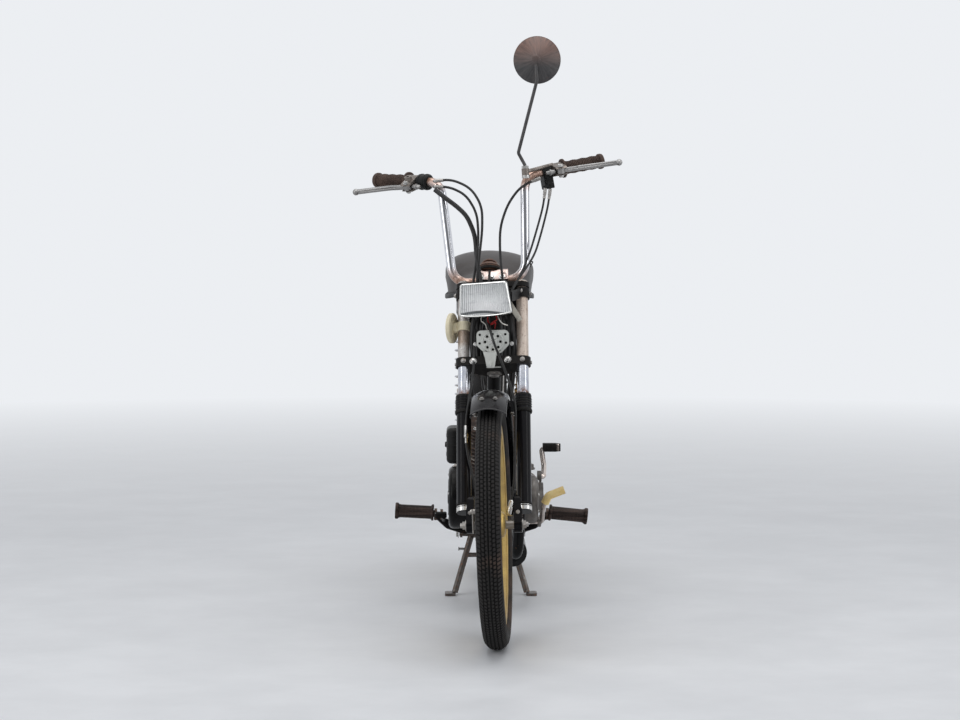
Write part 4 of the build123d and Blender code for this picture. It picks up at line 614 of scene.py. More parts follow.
class Piece:
    """A mesh gathered in drawing millimetres, then placed, finished and set riding on a body."""

    def __init__(self, place=root_place):
        self.mesh = bmesh.new()
        self.place = place

    def grid(self, rows, around=False, caps=False, frame=None):
        """Faces between rows of points; around closes each row into a ring."""
        made = []
        for row in rows:
            made.append([self.mesh.verts.new(frame @ Vector(p) if frame else Vector(p)) for p in row])
        for first, second in zip(made, made[1:]):
            count = len(first)
            for index in range(count if around else count - 1):
                after = (index + 1) % count
                self.mesh.faces.new((first[index], first[after], second[after], second[index]))
        if caps:
            self.mesh.faces.new(made[0][::-1])
            self.mesh.faces.new(made[-1])
        return made

    def lathe(self, profile, frame, sides=32, turn=0.0):
        """A closed or open (radius, height) profile turned about the frame's z."""
        rings = []
        for radius, height in profile:
            radius = max(radius, 0.02)
            rings.append([(radius * cos, radius * sin, height) for cos, sin in circle(sides, turn)])
        return self.grid(rings, around=True, caps=True, frame=frame)

    def ring(self, profile, frame, sides=48):
        """A closed (radius, height) section turned about the frame's z, open in its middle."""
        rings = [[(radius * cos, radius * sin, height) for radius, height in profile]
                 for cos, sin in circle(sides)]
        self.grid(rings + [rings[0]], around=True, frame=frame)

    def tube(self, points, radius, sides=10):
        """A round bar through points; the radius may differ at each."""
        points = [Vector(p) for p in points]
        radii = radius if isinstance(radius, (list, tuple)) else [radius] * len(points)
        rings = []
        side = None
        for index, point in enumerate(points):
            before, after = points[max(0, index - 1)], points[min(len(points) - 1, index + 1)]
            ahead = (after - before).normalized()
            if side is None:
                side = ahead.orthogonal().normalized()
            side = (side - ahead * side.dot(ahead)).normalized()
            other = ahead.cross(side)
            rings.append([point + (side * cos + other * sin) * radii[index] for cos, sin in circle(sides)])
        self.grid(rings, around=True, caps=True)

    def prism(self, outline, depth, frame, bevel=0.0, segments=2):
        """An outline of (x, y) points raised along the frame's z, with its edges eased."""
        verts = [self.mesh.verts.new(frame @ Vector((x, y, 0))) for x, y in outline]
        face = self.mesh.faces.new(verts)
        raised = bmesh.ops.extrude_face_region(self.mesh, geom=[face])
        moved = [item for item in raised["geom"] if isinstance(item, bmesh.types.BMVert)]
        shift = frame.to_3x3() @ Vector((0, 0, depth))
        for vert in moved:
            vert.co += shift
        if bevel:
            group = set(verts) | set(moved)
            edges = [edge for edge in self.mesh.edges if group.issuperset(edge.verts)]
            bmesh.ops.bevel(self.mesh, geom=edges, offset=bevel, segments=segments, profile=0.6,
                            affect="EDGES")

    def slab(self, size, frame, bevel=1.0, segments=2):
        """A block on the frame's origin, centred across and rising along z."""
        x, y = size[0] / 2, size[1] / 2
        self.prism([(-x, -y), (x, -y), (x, y), (-x, y)], size[2], frame, bevel, segments)

    def bolt(self, origin, direction, radius=5.0, height=4.5, washer=True):
        """A hexagon head with an eased crown on a washer."""
        frame = axis_frame(origin, direction)
        base = 0.0
        if washer:
            self.lathe([(radius * 1.35, -0.4), (radius * 1.35, 1.0), (radius * 1.2, 1.2)], frame, 20)
            base = 1.1
        turn = random.random() * 3
        self.lathe([(radius, base), (radius, base + height * 0.8), (radius * 0.82, base + height)],
                   frame, 6, turn)

    def screw(self, origin, direction, radius=3.2, height=2.0):
        """A pan-headed screw."""
        profile = [(radius, -0.5), (radius, height * 0.5), (radius * 0.8, height * 0.9),
                   (radius * 0.35, height)]
        self.lathe(profile, axis_frame(origin, direction), 14)

    def done(self, name, body, finish, slot, smooth_angle=38, stands_for=(), others=()):
        """Places the mesh and sets it riding on a body, with its finish, slot and the nodes it replaces."""
        bmesh.ops.recalc_face_normals(self.mesh, faces=self.mesh.faces)
        for face in self.mesh.faces:
            face.smooth = True
        for edge in self.mesh.edges:
            if len(edge.link_faces) == 2 and edge.calc_face_angle(0) > math.radians(smooth_angle):
                edge.smooth = False
        self.mesh.transform(self.place)
        data = bpy.data.meshes.new(name)
        self.mesh.to_mesh(data)
        self.mesh.free()
        for coat in (finish, *others):
            data.materials.append(coat.material)
        made = bpy.data.objects.new(name, data)
        scene.collection.objects.link(made)
        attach(made, body)
        if stands_for:
            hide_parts(*stands_for)
        return made


random.seed(11)


def smooth_path(points, steps=8):
    """A Catmull-Rom curve through points."""
    points = [Vector(p) for p in points]
    ends = [points[0] * 2 - points[1]] + points + [points[-1] * 2 - points[-2]]
    path = []
    for index in range(1, len(ends) - 2):
        a, b, c, d = ends[index - 1:index + 3]
        for step in range(steps):
            t = step / steps
            path.append(0.5 * ((2 * b) + (c - a) * t + (2 * a - 5 * b + 4 * c - d) * t * t
                               + (3 * b - a - 3 * c + d) * t * t * t))
    path.append(points[-1])
    return path


def rounded_loop(half_x, half_y, corner, height, sides):
    """Points round a rectangle whose corners' centres are half_x and half_y from its middle."""
    return [(half_x * (1 if cos > 0 else -1) + corner * cos, half_y * (1 if sin > 0 else -1) + corner * sin,
             height)
            for cos, sin in circle(sides)]


def helix(frame, radius, length, turns, steps=20):
    """Points along a coil about a frame's z."""
    points = []
    for k in range(int(turns * steps) + 1):
        angle = 2 * math.pi * k / steps
        points.append(frame @ Vector((radius * math.cos(angle), radius * math.sin(angle),
                                      length * k / (turns * steps))))
    return points


# ---------------------------------------------------------------- tyres

def tyre(name, centre, place, body, node):
    """A road tyre: rounded walls, three ribs and two rows of blocks, cut by fine slots."""
    wall = [(16.0, 239.6), (18.5, 241.5), (22.5, 245.0), (26.3, 250.0), (28.3, 256.0), (28.4, 262.0),
            (27.6, 266.5), (27.0, 267.2), (26.9, 268.0), (25.9, 271.4)]
    # (distance across, 1 on the crown or 0 in a groove, which kind of slot cuts it: 0 is none)
    crown = [(25.0, 1, 1), (23.0, 1, 1), (20.6, 1, 1), (18.0, 1, 1), (17.4, 0, 0), (15.6, 0, 0),
             (15.0, 1, 2), (12.4, 1, 2), (9.6, 1, 2), (9.0, 0, 0), (7.4, 0, 0), (6.8, 1, 1), (4.2, 1, 1),
             (3.6, 1, 3), (2.0, 1, 3), (1.5, 0, 0), (0.0, 0, 0)]

    def radius_at(across):
        return 285.4 - 0.00095 * abs(across) ** 2.95 * (1 + abs(across) * 0.004)

    groove_depth = 3.0
    columns = [(x, r, 0) for x, r in wall]
    for across, raised, slots in crown:
        columns.append((across, radius_at(across) - (0 if raised else groove_depth), slots))
    columns += [(-x, r, s) for x, r, s in columns[-2::-1]]
    blocks = 176
    slot_depths = (0.0, 1.9, 2.1, 0.9)
    rows = []
    piece = Piece(place)
    for block in range(blocks):
        for share, low in ((0.0, True), (0.07, False), (0.72, False), (0.80, True)):
            row = []
            for across, radius, slots in columns:
                skew = 0.0
                if slots or abs(across) < 25.5:
                    skew = 0.022 * abs(across) + (0.5 if 9.3 < abs(across) < 16.5 else 0.0)
                angle = 2 * math.pi * (block + share + skew) / blocks
                drop = slot_depths[slots] if low else 0.0
                reach = radius - drop
                row.append(centre + Vector((across, -reach * math.sin(angle), -reach * math.cos(angle))))
            rows.append(row)
    piece.grid(rows + [rows[0]])
    # painted shade: the grooves' floors and slots are darker than the tread's top that the road rubs
    tread_top = len(wall)
    across_count = len(columns) - 1
    for index, face in enumerate(piece.mesh.faces):
        row, column = divmod(index, across_count)
        if tread_top <= column < across_count - tread_top:
            low = columns[column][2] == 0 or columns[column + 1][2] == 0
            if low or (row % 4 in (2, 3) and columns[column][2] in (1, 2)):
                face.material_index = 1
    # the walls' moulded lines
    for side in (1, -1):
        frame = axis_frame(centre, (side, 0, 0))
        for radius, out in ((250.5, 26.0), (244.8, 21.9)):
            bead = [(radius - 0.9, out), (radius, out + 1.1), (radius + 0.9, out + 0.6), (radius, out - 0.8)]
            piece.ring(bead, frame, 120)
    return piece.done(name, body, tread_rubber, "tyre", 30, (node,), (groove_shade_rubber,))


tyre("front_tyre_tread", front_axle, fork_place, "front_wheel", "front_tyre")
tyre("rear_tyre_tread", rear_axle, root_place, "rear_wheel", "rear_tyre")

wheels = (("front", front_axle, fork_place, "front_wheel", 250),
          ("rear", rear_axle, root_place, "rear_wheel", 118))
for name, centre, place, body, valve_angle in wheels:
    valve = Piece(place)
    inward = Vector((0, *on_circle(valve_angle, 1)))
    frame = axis_frame(centre + inward * 206, -inward)
    valve.lathe([(4.4, -3), (4.4, 3), (2.9, 5), (2.9, 17), (3.4, 17.2), (3.4, 23), (2.6, 24)], frame, 14)
    valve.done(name + "_valve", body, dark_rubber, "aged_rubber")

# wheel rims: a bright bead line and an inner ring each side
for name, centre, place, body, _ in wheels:
    edges = Piece(place)
    for side in (1, -1):
        frame = axis_frame(centre, (side, 0, 0))
        edges.ring([(238.2 + 1.3 * cos, 18.2 + 1.5 * sin) for cos, sin in circle(8)], frame, 120)
        edges.ring([(219.5 + 0.9 * cos, 18.0 + 0.9 * sin) for cos, sin in circle(6)], frame, 100)
    edges.done(name + "_rim_edges", body, rim_gold, "gold_alloy")

# ---------------------------------------------------------------- fork

fork = Piece(fork_place)
bright = Piece(fork_place)
for side in (1, -1):
    leg = axis_frame(steer(side * leg_half, -fork_offset, 0), steer_up)
    # dust boots: a lip below, two ridges and a rolled top
    fork.ring([(16.6, 572), (20.4, 572.5), (21.2, 576), (20.4, 580), (16.6, 580)], leg)
    for height in (587, 593, 599, 605):
        fork.ring([(19.2, height - 2.2), (20.5, height), (19.2, height + 2.2), (17, height)], leg)
    fork.ring([(14.4, 611), (18.6, 610), (19.8, 613), (18.6, 617.5), (14.4, 618.5)], leg)
    # a ring round the slider's foot and two bright bands on the slider
    fork.ring([(16, 344), (18.2, 345), (18.2, 348), (16, 349)], leg)
    bright.ring([(16.6, 329.5), (17.6, 330.2), (17.7, 339.0), (16.6, 339.8)], leg)
    bright.ring([(16.6, 341.2), (17.3, 341.4), (17.3, 342.6), (16.6, 342.8)], leg)
fork.done("fork_boots", "fork", dark_rubber, "black_plastic")
bright.done("fork_bands", "fork", bright_steel, "dull_steel")

hardware = Piece(fork_place)
for side in (1, -1):
    # pinch bolts across the lower yoke, nuts over the stanchions
    hardware.bolt(steer(side * 69.5, -58.6, 700), -steer_back, 4.4, 3.0)
    hardware.bolt(steer(side * 86, -fork_offset + 4, 700), (side, 0, 0), 4.6, 4.0)
    hardware.bolt(steer(side * leg_half, -fork_offset, 905.5), steer_up, 11.5, 5.0, False)
    hardware.bolt(steer(side * 41, -fork_offset - 2, 896), -steer_back, 4.6, 4.5)
    # axle nuts, their washers and the lug's bolts
    axle_end = front_axle + Vector((side * 64.2, 0, 0))
    axle_frame = axis_frame(axle_end, (side, 0, 0))
    hardware.lathe([(13.5, 0), (13.5, 1.8), (12.5, 2.2)], axle_frame, 24)
    hardware.lathe([(5.8, 0), (5.8, 13), (4.9, 14.2)], axle_frame, 18)
    hardware.bolt(steer(side * 55, -fork_offset - 15.5, 322), -steer_back, 5.2, 4.0)
    # the mudguard's bolts on the lugs
    hardware.bolt(steer(side * 44, -fork_offset - 6, 572), -steer_back, 4.4, 3.4)
hardware.bolt(steer(0, 0, 906), steer_up, 12, 4.0)
hardware.bolt(steer(0, 0, 689), -steer_up, 13, 6.0)
guard_radius = 311
# two more on the mudguard's crown
crown_angle = math.radians(73)
for x in (-15, 15):
    crown = Vector((x, -guard_radius * math.cos(crown_angle), guard_radius * math.sin(crown_angle)))
    hardware.bolt(front_axle + crown, (0, -math.cos(crown_angle), math.sin(crown_angle)), 4.0, 3.0)
hardware.done("fork_hardware", "fork", steel, "dull_steel")
yoke_bolts = Piece(fork_place)
for x, height in ((-46, 698), (35, 700)):
    yoke_bolts.lathe([(8.4, -0.5), (8.4, 1.4), (7.6, 1.8), (7.4, 4.2), (6.0, 6.2), (3.4, 7.2), (0.1, 7.5)],
                     axis_frame(steer(x, -58.7, height), -steer_back), 24)
yoke_bolts.done("yoke_bolts", "fork", bright_steel, "dull_steel")

# front brake: the cam's lever, the cable's adjuster and its stop
brake = Piece(fork_place)
cam = front_axle + Vector((-44, -22, 34))
brake.lathe([(6.5, -3), (6.5, 4), (4.5, 6)], axis_frame(cam, (-1, 0, 0)), 18)
brake.prism([(-6, -6), (6, -6), (4.5, 50), (-4.5, 50)], 3.4,
            axis_frame(cam + Vector((-2, 0, 0)), (-1, 0, 0), (0, 1, 0)), 1.0)
brake.bolt(cam + Vector((-5, 0, 0)), (-1, 0, 0), 4.6, 3.5)
brake_face = axis_frame(front_axle + Vector((-38.4, 0, 0)), (-1, 0, 0))
brake.ring([(28, 0), (52, 0), (52, 1.6), (28, 1.6)], brake_face, 60)
for k in range(6):
    brake.screw(front_axle + Vector((-38.5, *on_circle(60 * k + 15, 46))), (-1, 0, 0), 2.6, 1.6)
brake.done("front_brake_lever", "fork", steel, "dull_steel")

adjuster = Piece(fork_place)
cable_low = Vector((-64, -509, 519))
ahead = (Vector((-62, -541, 453)) - cable_low).normalized()
adjuster.lathe([(3.6, 0), (4.4, 1), (4.4, 22), (5.2, 22.5), (5.2, 29), (3.4, 30), (3.4, 44)],
               axis_frame(cable_low + ahead * 12, ahead), 14)
drive = Vector((37, -588, 316))
run = (Vector((48, -566, 378)) - drive).normalized()
adjuster.lathe([(7.5, -10), (8.5, -6), (8.5, 8), (6.5, 10), (6.5, 22), (4.6, 25)], axis_frame(drive, run), 18)
adjuster.done("cable_ends", "fork", bright_steel, "dull_steel")

# ---------------------------------------------------------------- headlamp

def lamp_outline(inset, steps=5):
    """Points round the lamp's face, anticlockwise as the front shows it, with the corners rounded."""
    top, low, tall = 55.5 - inset, 63.5 - inset, 38.5 - inset
    corners = [Vector((-low, -tall)), Vector((low, -tall)), Vector((top, tall)), Vector((-top, tall))]
    points = []
    for index, corner_point in enumerate(corners):
        before, after = corners[index - 1], corners[(index + 1) % 4]
        radius = max(1.0, 7.0 - inset * 0.6)
        start = corner_point + (before - corner_point).normalized() * radius
        end = corner_point + (after - corner_point).normalized() * radius
        for step in range(steps + 1):
            t = step / steps
            points.append(start.lerp(corner_point, t).lerp(corner_point.lerp(end, t), t))
        if index == 0:
            # the lower edge bows down
            for t in (0.1, 0.2, 0.3, 0.4, 0.5, 0.6, 0.7, 0.8, 0.9):
                across = end.x + (-2 * end.x) * t
                points.append(Vector((across, -tall - 4.0 * (1 - (across / low) ** 2))))
    return points


def lamp_rings(*sizes):
    """Rings round the lamp, each given by how far it is inset and how far back it is."""
    return [[lamp_centre + Vector((p.x, back, p.y)) for p in lamp_outline(inset)] for inset, back in sizes]


shell = Piece(lamp_place)
shell_rings = shell.grid(lamp_rings((4.5, 1.0), (3.0, -1.5), (0.6, -1.0), (0.0, 2.0), (0.4, 14), (2.2, 30),
                                    (4.6, 42),
                                    (9.5, 56), (14, 63), (18, 65.5), (26, 66)), around=True)
shell.mesh.faces.new(shell_rings[-1][::-1])
shell.ring([(6, -1), (9, -1), (9.6, 1.4), (6, 1.4)],
           axis_frame(lamp_centre + Vector((-57, 24, 4)), (-1, 0, 0)), 24)
shell.done("headlamp_body", "fork", lamp_plastic, "black_plastic", 45, ("headlamp_shell",))

rim = Piece(lamp_place)
rim_rows = lamp_rings((4.6, -0.5), (4.0, -4.0), (2.6, -5.0), (0.8, -3.6), (0.2, 0.0), (1.4, 1.4))
rim.grid(rim_rows + [rim_rows[0]], around=True)
silver_rim = plated("lamp_rim", (0.78, 0.78, 0.76), 0.24, 0.3)
rim.done("headlamp_rim", "fork", silver_rim, "chrome")

reflector = Piece(lamp_place)
rows = []
for share, depth in ((1.0, 0.2), (0.93, 7), (0.82, 15), (0.66, 23), (0.48, 29), (0.3, 32.5), (0.14, 34)):
    rows.append([lamp_centre + Vector((p.x * share, depth, p.y * share + 1.5 * (1 - share)))
                 for p in lamp_outline(4.2)])
reflector.grid(rows, around=True)
reflector.done("headlamp_reflector", "fork", lamp_silver(), "chrome", 60)

bulb = Piece(lamp_place)
bulb.lathe([(9, 34), (9, 26), (6, 24), (6, 20), (8.5, 15), (8.8, 10), (6.5, 6), (0.1, 4.4)],
           axis_frame(lamp_centre + Vector((0, 0, 1.5)), (0, 1, 0)), 24)
bulb.done("headlamp_bulb", "fork", chrome, "chrome", 50)

lens = Piece(lamp_place)
columns, rises = 156, 14
front, back = [], []
for row in range(rises + 1):
    v = row / rises
    low_row, high_row = [], []
    for column in range(columns + 1):
        u = 2 * column / columns - 1
        z_low = -38.5 + 4.2 - 4.0 * (1 - u * u) + 0.6
        z = z_low + (34.6 - z_low) * v
        half = 59.6 + (51.4 - 59.6) * (z + 34.3) / 68.6
        x = u * half
        rib = 0.0 if abs(u) > 0.97 else 1.1 * (0.5 + 0.5 * math.cos(2 * math.pi * column / 6))
        bulge = 3.4 * (1 - u * u) * (1 - (2 * v - 1) ** 2 * 0.8) + 2.2
        low_row.append(lamp_centre + Vector((x, -bulge - rib, z)))
        high_row.append(lamp_centre + Vector((x, -bulge + 1.8, z)))
    front.append(low_row)
    back.append(high_row)
first = lens.grid(front)
second = lens.grid(back)
edge_pairs = ([(first[0][k], second[0][k]) for k in range(columns + 1)]
              + [(first[r][-1], second[r][-1]) for r in range(rises + 1)]
              + [(first[-1][k], second[-1][k]) for k in range(columns, -1, -1)]
              + [(first[r][0], second[r][0]) for r in range(rises, -1, -1)])
for (a, b), (c, d) in zip(edge_pairs, edge_pairs[1:]):
    if a is not c:
        lens.mesh.faces.new((a, c, d, b))
lens.done("headlamp_glass", "fork", lamp_ribs, "lamp_glass", 80, ("headlamp_lens",))

# ---------------------------------------------------------------- handlebar

bar_top = Vector((102, bar_centre.y + 248 * math.tan(math.radians(6)), bar_centre.z + 248))
grip_end = Vector((276, bar_top.y + 174 * math.tan(math.radians(30)), bar_top.z + 20))
grip_direction = (grip_end - bar_top).normalized()


def mirrored(point):
    return Vector((-point.x, point.y, point.z))


def grip_place(side, inward):
    place = grip_end - grip_direction * inward
    return place if side > 0 else mirrored(place)


def outward(side):
    return grip_direction if side > 0 else mirrored(grip_direction)


grips = Piece(bar_place)
for side in (1, -1):
    profile = [(11, 0), (22, 0), (23, 1), (23, 4.5), (21, 6), (17.5, 7), (16, 9)]
    for k in range(21):
        height = 9.5 + 4.15 * k
        swell = 0.7 * math.sin(2 * math.pi * height / 24)
        profile += [(14.7 + swell, height), (15.9 + swell, height + 0.9), (15.9 + swell, height + 2.6),
                    (14.7 + swell, height + 3.4)]
    profile += [(17.6, 97), (18.6, 98.5), (18.6, 104), (17.4, 107), (11, 108)]
    grips.lathe(profile, axis_frame(grip_place(side, 104), outward(side)), 30)
grips.done("grip_rubbers", "fork", grip_rubber, "aged_rubber", 38, ("grips",))


def perch_frame(turn, side):
    """A perch's own axes, x out along the grip, y back and z up; the right one is the left's mirror image."""
    upright = Vector((0, 0, 1)) - grip_direction * grip_direction.z
    upright = (Matrix.Rotation(math.radians(turn), 4, grip_direction) @ upright).normalized()
    back = upright.cross(grip_direction)
    frame = Matrix((grip_direction, back, upright)).transposed().to_4x4()
    frame = Matrix.Translation(grip_place(1, 120)) @ frame
    return frame if side > 0 else Matrix.Diagonal((-1, 1, 1, 1)) @ frame


controls = Piece(bar_place)
knobs = Piece(bar_place)
for side, turn in ((1, 8), (-1, 24)):
    frame = perch_frame(turn, side)

    def spot(x, y, z):
        return frame @ Vector((x, y, z))

    upward = frame.to_3x3() @ Vector((0, 0, 1))
    behind = frame.to_3x3() @ Vector((0, 1, 0))
    ahead = frame.to_3x3() @ Vector((1, 0, 0))
    controls.bolt(spot(0, -30, 10.8), upward, 6.2, 4.4)
    controls.bolt(spot(0, -30, -10.8), -upward, 5.4, 4.0)
    controls.bolt(spot(6, 15.5, 0), behind, 4.6, 4.0)
    controls.bolt(spot(-7, 15.5, 0), behind, 4.6, 4.0)
    # the cable's adjuster and the knurled ring on it
    knobs.lathe([(3.6, 0), (5.2, 0.5), (5.2, 9), (7.2, 9.6), (7.2, 14), (5.0, 14.6), (4.2, 22), (3.4, 23)],
                axis_frame(spot(-14, -26, 0), -ahead), 18)
    # a pressed rib down the lever's blade
    blade = [spot(x, -30 - 36 * max(0, x - 18) / 120 - 4.4, 0) for x in (14, 40, 70, 100, 122)]
    knobs.tube(smooth_path(blade, 3), [1.9] * 13, 8)
boss = bar_top + Vector((6, -22, 8))
controls.lathe([(5.2, -1), (8.4, -0.6), (8.4, 5), (7, 6)], axis_frame(boss + Vector((0, 0, 8.5)), (0, 0, 1)),
               6)
controls.lathe([(4.6, 0), (9.4, 0.5), (9.8, 3), (9.8, 8), (8, 9)],
               axis_frame(boss + Vector((0, 0, -16)), (0, 0, 1)), 24)
controls.done("bar_bolts", "fork", bright_steel, "dull_steel")
knobs.done("lever_trim", "fork", lever_alloy, "cast_alloy")

switches = Piece(bar_place)
switch_face = Vector((0.25, -1, 0.1))
for drop in (14, 27):
    place = grip_place(1, 147) + Vector((0, 0, -drop))
    switches.lathe([(5.6, 9), (5.6, 13.4), (4.4, 14.6), (4.4, 17.4), (3.2, 18.4)],
                   axis_frame(place, switch_face.normalized()), 18)
for inward in (139, 155):
    switches.screw(grip_place(1, inward) + Vector((0, 0, -35)) + Vector((3, -12, 0)), switch_face, 2.4, 1.4)
throttle = axis_frame(grip_place(-1, 135), -outward(-1))
for low in (7, 22):
    switches.ring([(18.8, low), (19.9, low + 0.6), (19.9, low + 2.4), (18.8, low + 3)], throttle, 40)
switches.screw(throttle @ Vector((19, 0, 16)), throttle.to_3x3() @ Vector((1, 0, 0)), 3, 1.8)
switches.done("switch_trim", "fork", moulded, "black_plastic")

# the clamp's cap with its bolts, and what sits on it
cap = Piece(fork_place)


def across_at(x, outline):
    """Points (behind, height) of a section across the steering axis, at a distance across."""
    return [steer(x, -25 + behind, height) for behind, height in outline]


section = [(-19.6, 914), (-19.8, 934), (-17.5, 939.5), (-12, 943.6), (12, 943.6), (17.5, 939.5), (19.8, 934),
           (19.6, 914)]
cap.grid([across_at(x, section) for x in (-36.6, -36.2, -18, -17, 17, 18, 36.2)], caps=True, around=True)
for x in (-27, 27):
    cap.ring([(5.4, 0), (7.4, 0), (7.4, 1.6), (5.4, 1.6)], axis_frame(steer(x, -45, 924), -steer_back), 20)
cap.done("clamp_cap", "fork", pink_chrome, "chrome")
cap_bolts = Piece(fork_place)
for x in (-27, -2, 22):
    cap_bolts.bolt(steer(x, -44.6, 920), -steer_back + steer_up * 0.15, 5.6, 4.6)
for x in (-27, 27):
    cap_bolts.bolt(steer(x, -6, 935), steer_back + steer_up * 0.3, 5.2, 4.4)
cap_bolts.done("clamp_bolts", "fork", bright_steel, "dull_steel")

speedo = Piece(bar_place)
dome = axis_frame(steer(0, -25, 943), steer_up)
speedo.ring([(25, -0.5), (28.2, 0.2), (28.6, 3.0), (28.2, 6.2), (25, 7)], dome, 48)
speedo.ring([(26.2, 8.4), (27.5, 8.8), (27.5, 10.2), (26.2, 10.6)], dome, 48)
speedo.done("speedometer_band", "fork", dark_rubber, "black_plastic")
dial_frame = axis_frame(steer(0, -20, 943 + 13.5), steer_up * 0.8 + steer_back * 0.6)
bezel = Piece(bar_place)
bezel.ring([(18.5, 0), (21.6, 0), (22.2, 3), (21.4, 5.6), (19.4, 6.2), (18.5, 4.6)], dial_frame, 48)
bezel.done("speedometer_bezel", "fork", dome_rust, "rusty_steel")
dial = Piece(bar_place)
dial.lathe([(19.4, 0.6), (19.4, 3.2)], dial_frame, 40)
dial.done("speedometer_dial", "fork", moulded, "black_plastic")
marks = Piece(bar_place)
for k in range(21):
    angle = math.radians(-40 + 13 * k)
    size = (1.0, 3.6, 0.35) if k % 4 == 0 else (0.6, 2.2, 0.35)
    spoke = dial_frame @ Matrix.Rotation(angle, 4, "Z") @ Matrix.Translation((0, 16.4, 3.15))
    marks.slab(size, spoke, 0)
marks.slab((1.2, 15, 0.5), dial_frame @ Matrix.Rotation(math.radians(-52), 4,
                                                        "Z") @ Matrix.Translation((0, 6, 3.8)), 0)
marks.done("speedometer_marks", "fork", white_wire, "cream_plastic")
dial_glass = Piece(bar_place)
dial_glass.lathe([(19.2, 4.8), (19.2, 5.4), (14, 6.6), (7, 7.3), (0.1, 7.5)], dial_frame, 40)
dial_glass.done("speedometer_glass", "fork", clear_glass, "lamp_glass")

# the mirror's glass, its rim and the nut behind it
mirror_centre = boss + Vector((48, 8, 262))
glass_frame = axis_frame(mirror_centre + Vector((0, 5.0, 0)), (0, 1, 0))
mirror_glass = Piece(bar_place)
mirror_glass.lathe([(54.2, -0.5), (54.2, 1.2), (40, 1.9), (20, 2.3), (0.1, 2.4)], glass_frame, 64)
silvered = plated("mirror_silver", (0.86, 0.87, 0.88), 0.03, 0.0)
mirror_glass.done("mirror_glass", "fork", silvered, "chrome")
mirror_rim = Piece(bar_place)
mirror_rim.ring([(53.6, 0), (55.8, -6), (56.3, -2), (55.8, 2.0), (54.6, 2.6), (53.6, 1.8)], glass_frame, 72)
back = axis_frame(mirror_centre + Vector((0, -29, -1)), (0, -1, 0))
mirror_rim.lathe([(12.5, -2), (12.5, 1.5), (10, 3.4), (6.5, 4)], back, 24)
mirror_rim.done("mirror_rim", "fork", mirror_shell, "mirror_back")

# ferrules where the cables leave their levers
ferrules = Piece(fork_place)
for start, end, size in (((122, -302, 1079), (74, -320, 1061), 1.0),
                         ((-138, -284, 1079), (-93, -298, 1082), 1.0),
                         ((-138, -286, 1066), (-98, -298, 1064), 0.9),
                         ((131, -292, 1056), (125, -299, 1012), 0.9),
                         ((143, -289, 1054), (136, -295, 1010), 0.9)):
    start = Vector(start)
    run = (Vector(end) - start).normalized()
    ferrules.lathe([(3.4, 2), (4.6 * size, 2.5), (4.6 * size, 18), (3.9 * size, 19), (3.6, 27)],
                   axis_frame(start, run), 14)
ferrules.done("cable_ferrules", "fork", steel, "dull_steel")

# ---------------------------------------------------------------- lamp bracket, horn and reflector disc

horn_centre = Vector((1, -420.8, 697.5))
horn_frame = axis_frame(horn_centre, (0, -1, 0))
horn_trim = Piece(fork_place)
horn_trim.ring([(22.6, 18.2), (25.2, 16.0), (25.8, 18.4), (24.6, 20.4), (23.2, 20.0)], horn_frame, 48)
for k in range(8):
    around = horn_frame @ Matrix.Rotation(math.radians(45 * k + 22.5), 4, "Z")
    horn_trim.slab((2.4, 12, 1.3), around @ Matrix.Translation((0, 16.5, 18.4)), 0.4, 1)
horn_trim.lathe([(11.5, 18), (11.5, 19.6), (9, 20.6), (5.5, 20.9)], horn_frame, 30)
horn_trim.done("horn_ribs", "fork", horn_paint, "horn_grey")
# dark discs in the horn's holes: painted shade inside the holes
horn_bits = Piece(fork_place)
for k in range(8):
    hole = horn_frame @ Vector((*on_circle(45 * k, 18), 0))
    horn_bits.lathe([(2.75, 14.2), (2.75, 15.6)], axis_frame(hole, (0, -1, 0)), 14)
for x, y in ((-30, 17), (30, 17), (-31, -3), (31, -3), (-15, -20), (15, -20)):
    horn_bits.lathe([(2.9, 13.0), (2.9, 14.4)], axis_frame(horn_frame @ Vector((x, y, 0)), (0, -1, 0)), 14)
horn_bits.done("horn_holes", "fork", dark_rubber, "black_plastic")
horn_screws = Piece(fork_place)
horn_screws.bolt(horn_frame @ Vector((0, 0, 20.2)), (0, -1, 0), 4.2, 3.0)
for k in range(4):
    horn_screws.screw(horn_frame @ Vector((*on_circle(45 + 90 * k, 8.6), 19.9)), (0, -1, 0), 1.5, 1.0)
for x, tilt in ((-42, -0.2), (44, 0.2)):
    horn_screws.bolt(horn_frame @ Vector((x, -6, 2)), (tilt, -1, 0), 3.6, 3.0)
horn_screws.done("horn_screws", "fork", bright_steel, "dull_steel")

plate = Piece(fork_place)
plate.prism([(-22, 674), (10, 674), (8, 660), (5, 641), (2, 636.5), (-11, 636.5), (-15, 641), (-18, 660)],
            2.4,
            Matrix.Translation((0, -441.5, 0)) @ axis_frame((0, 0, 0), (0, -1, 0)), 0.5)
plate.ring([(3.4, 2.0), (6.4, 2.0), (6.4, 3.4), (3.4, 3.4)], axis_frame((-6, -441.5, 655), (0, -1, 0)), 24)
plate.bolt((-6, -443.6, 645), (0, -1, 0), 4.6, 3.4)
plate.done("horn_plate", "fork", horn_paint, "horn_grey")
disc = Piece(fork_place)
disc_turn = math.radians(14)
disc_normal = Vector((math.cos(disc_turn), -math.sin(disc_turn), 0))
disc_middle = steer(-97.5, -fork_offset, 792)
for side in (1, -1):
    face = axis_frame(disc_middle + disc_normal * side * 4.5, disc_normal * side)
    for radius in (9, 17, 25, 32.6):
        ridge = [(radius - 1.5, -0.3), (radius - 0.8, 1.2), (radius + 0.8, 1.2), (radius + 1.5, -0.3)]
        disc.ring(ridge, face, 56)
    disc.screw(face.translation, disc_normal * side, 4.4, 2.6)
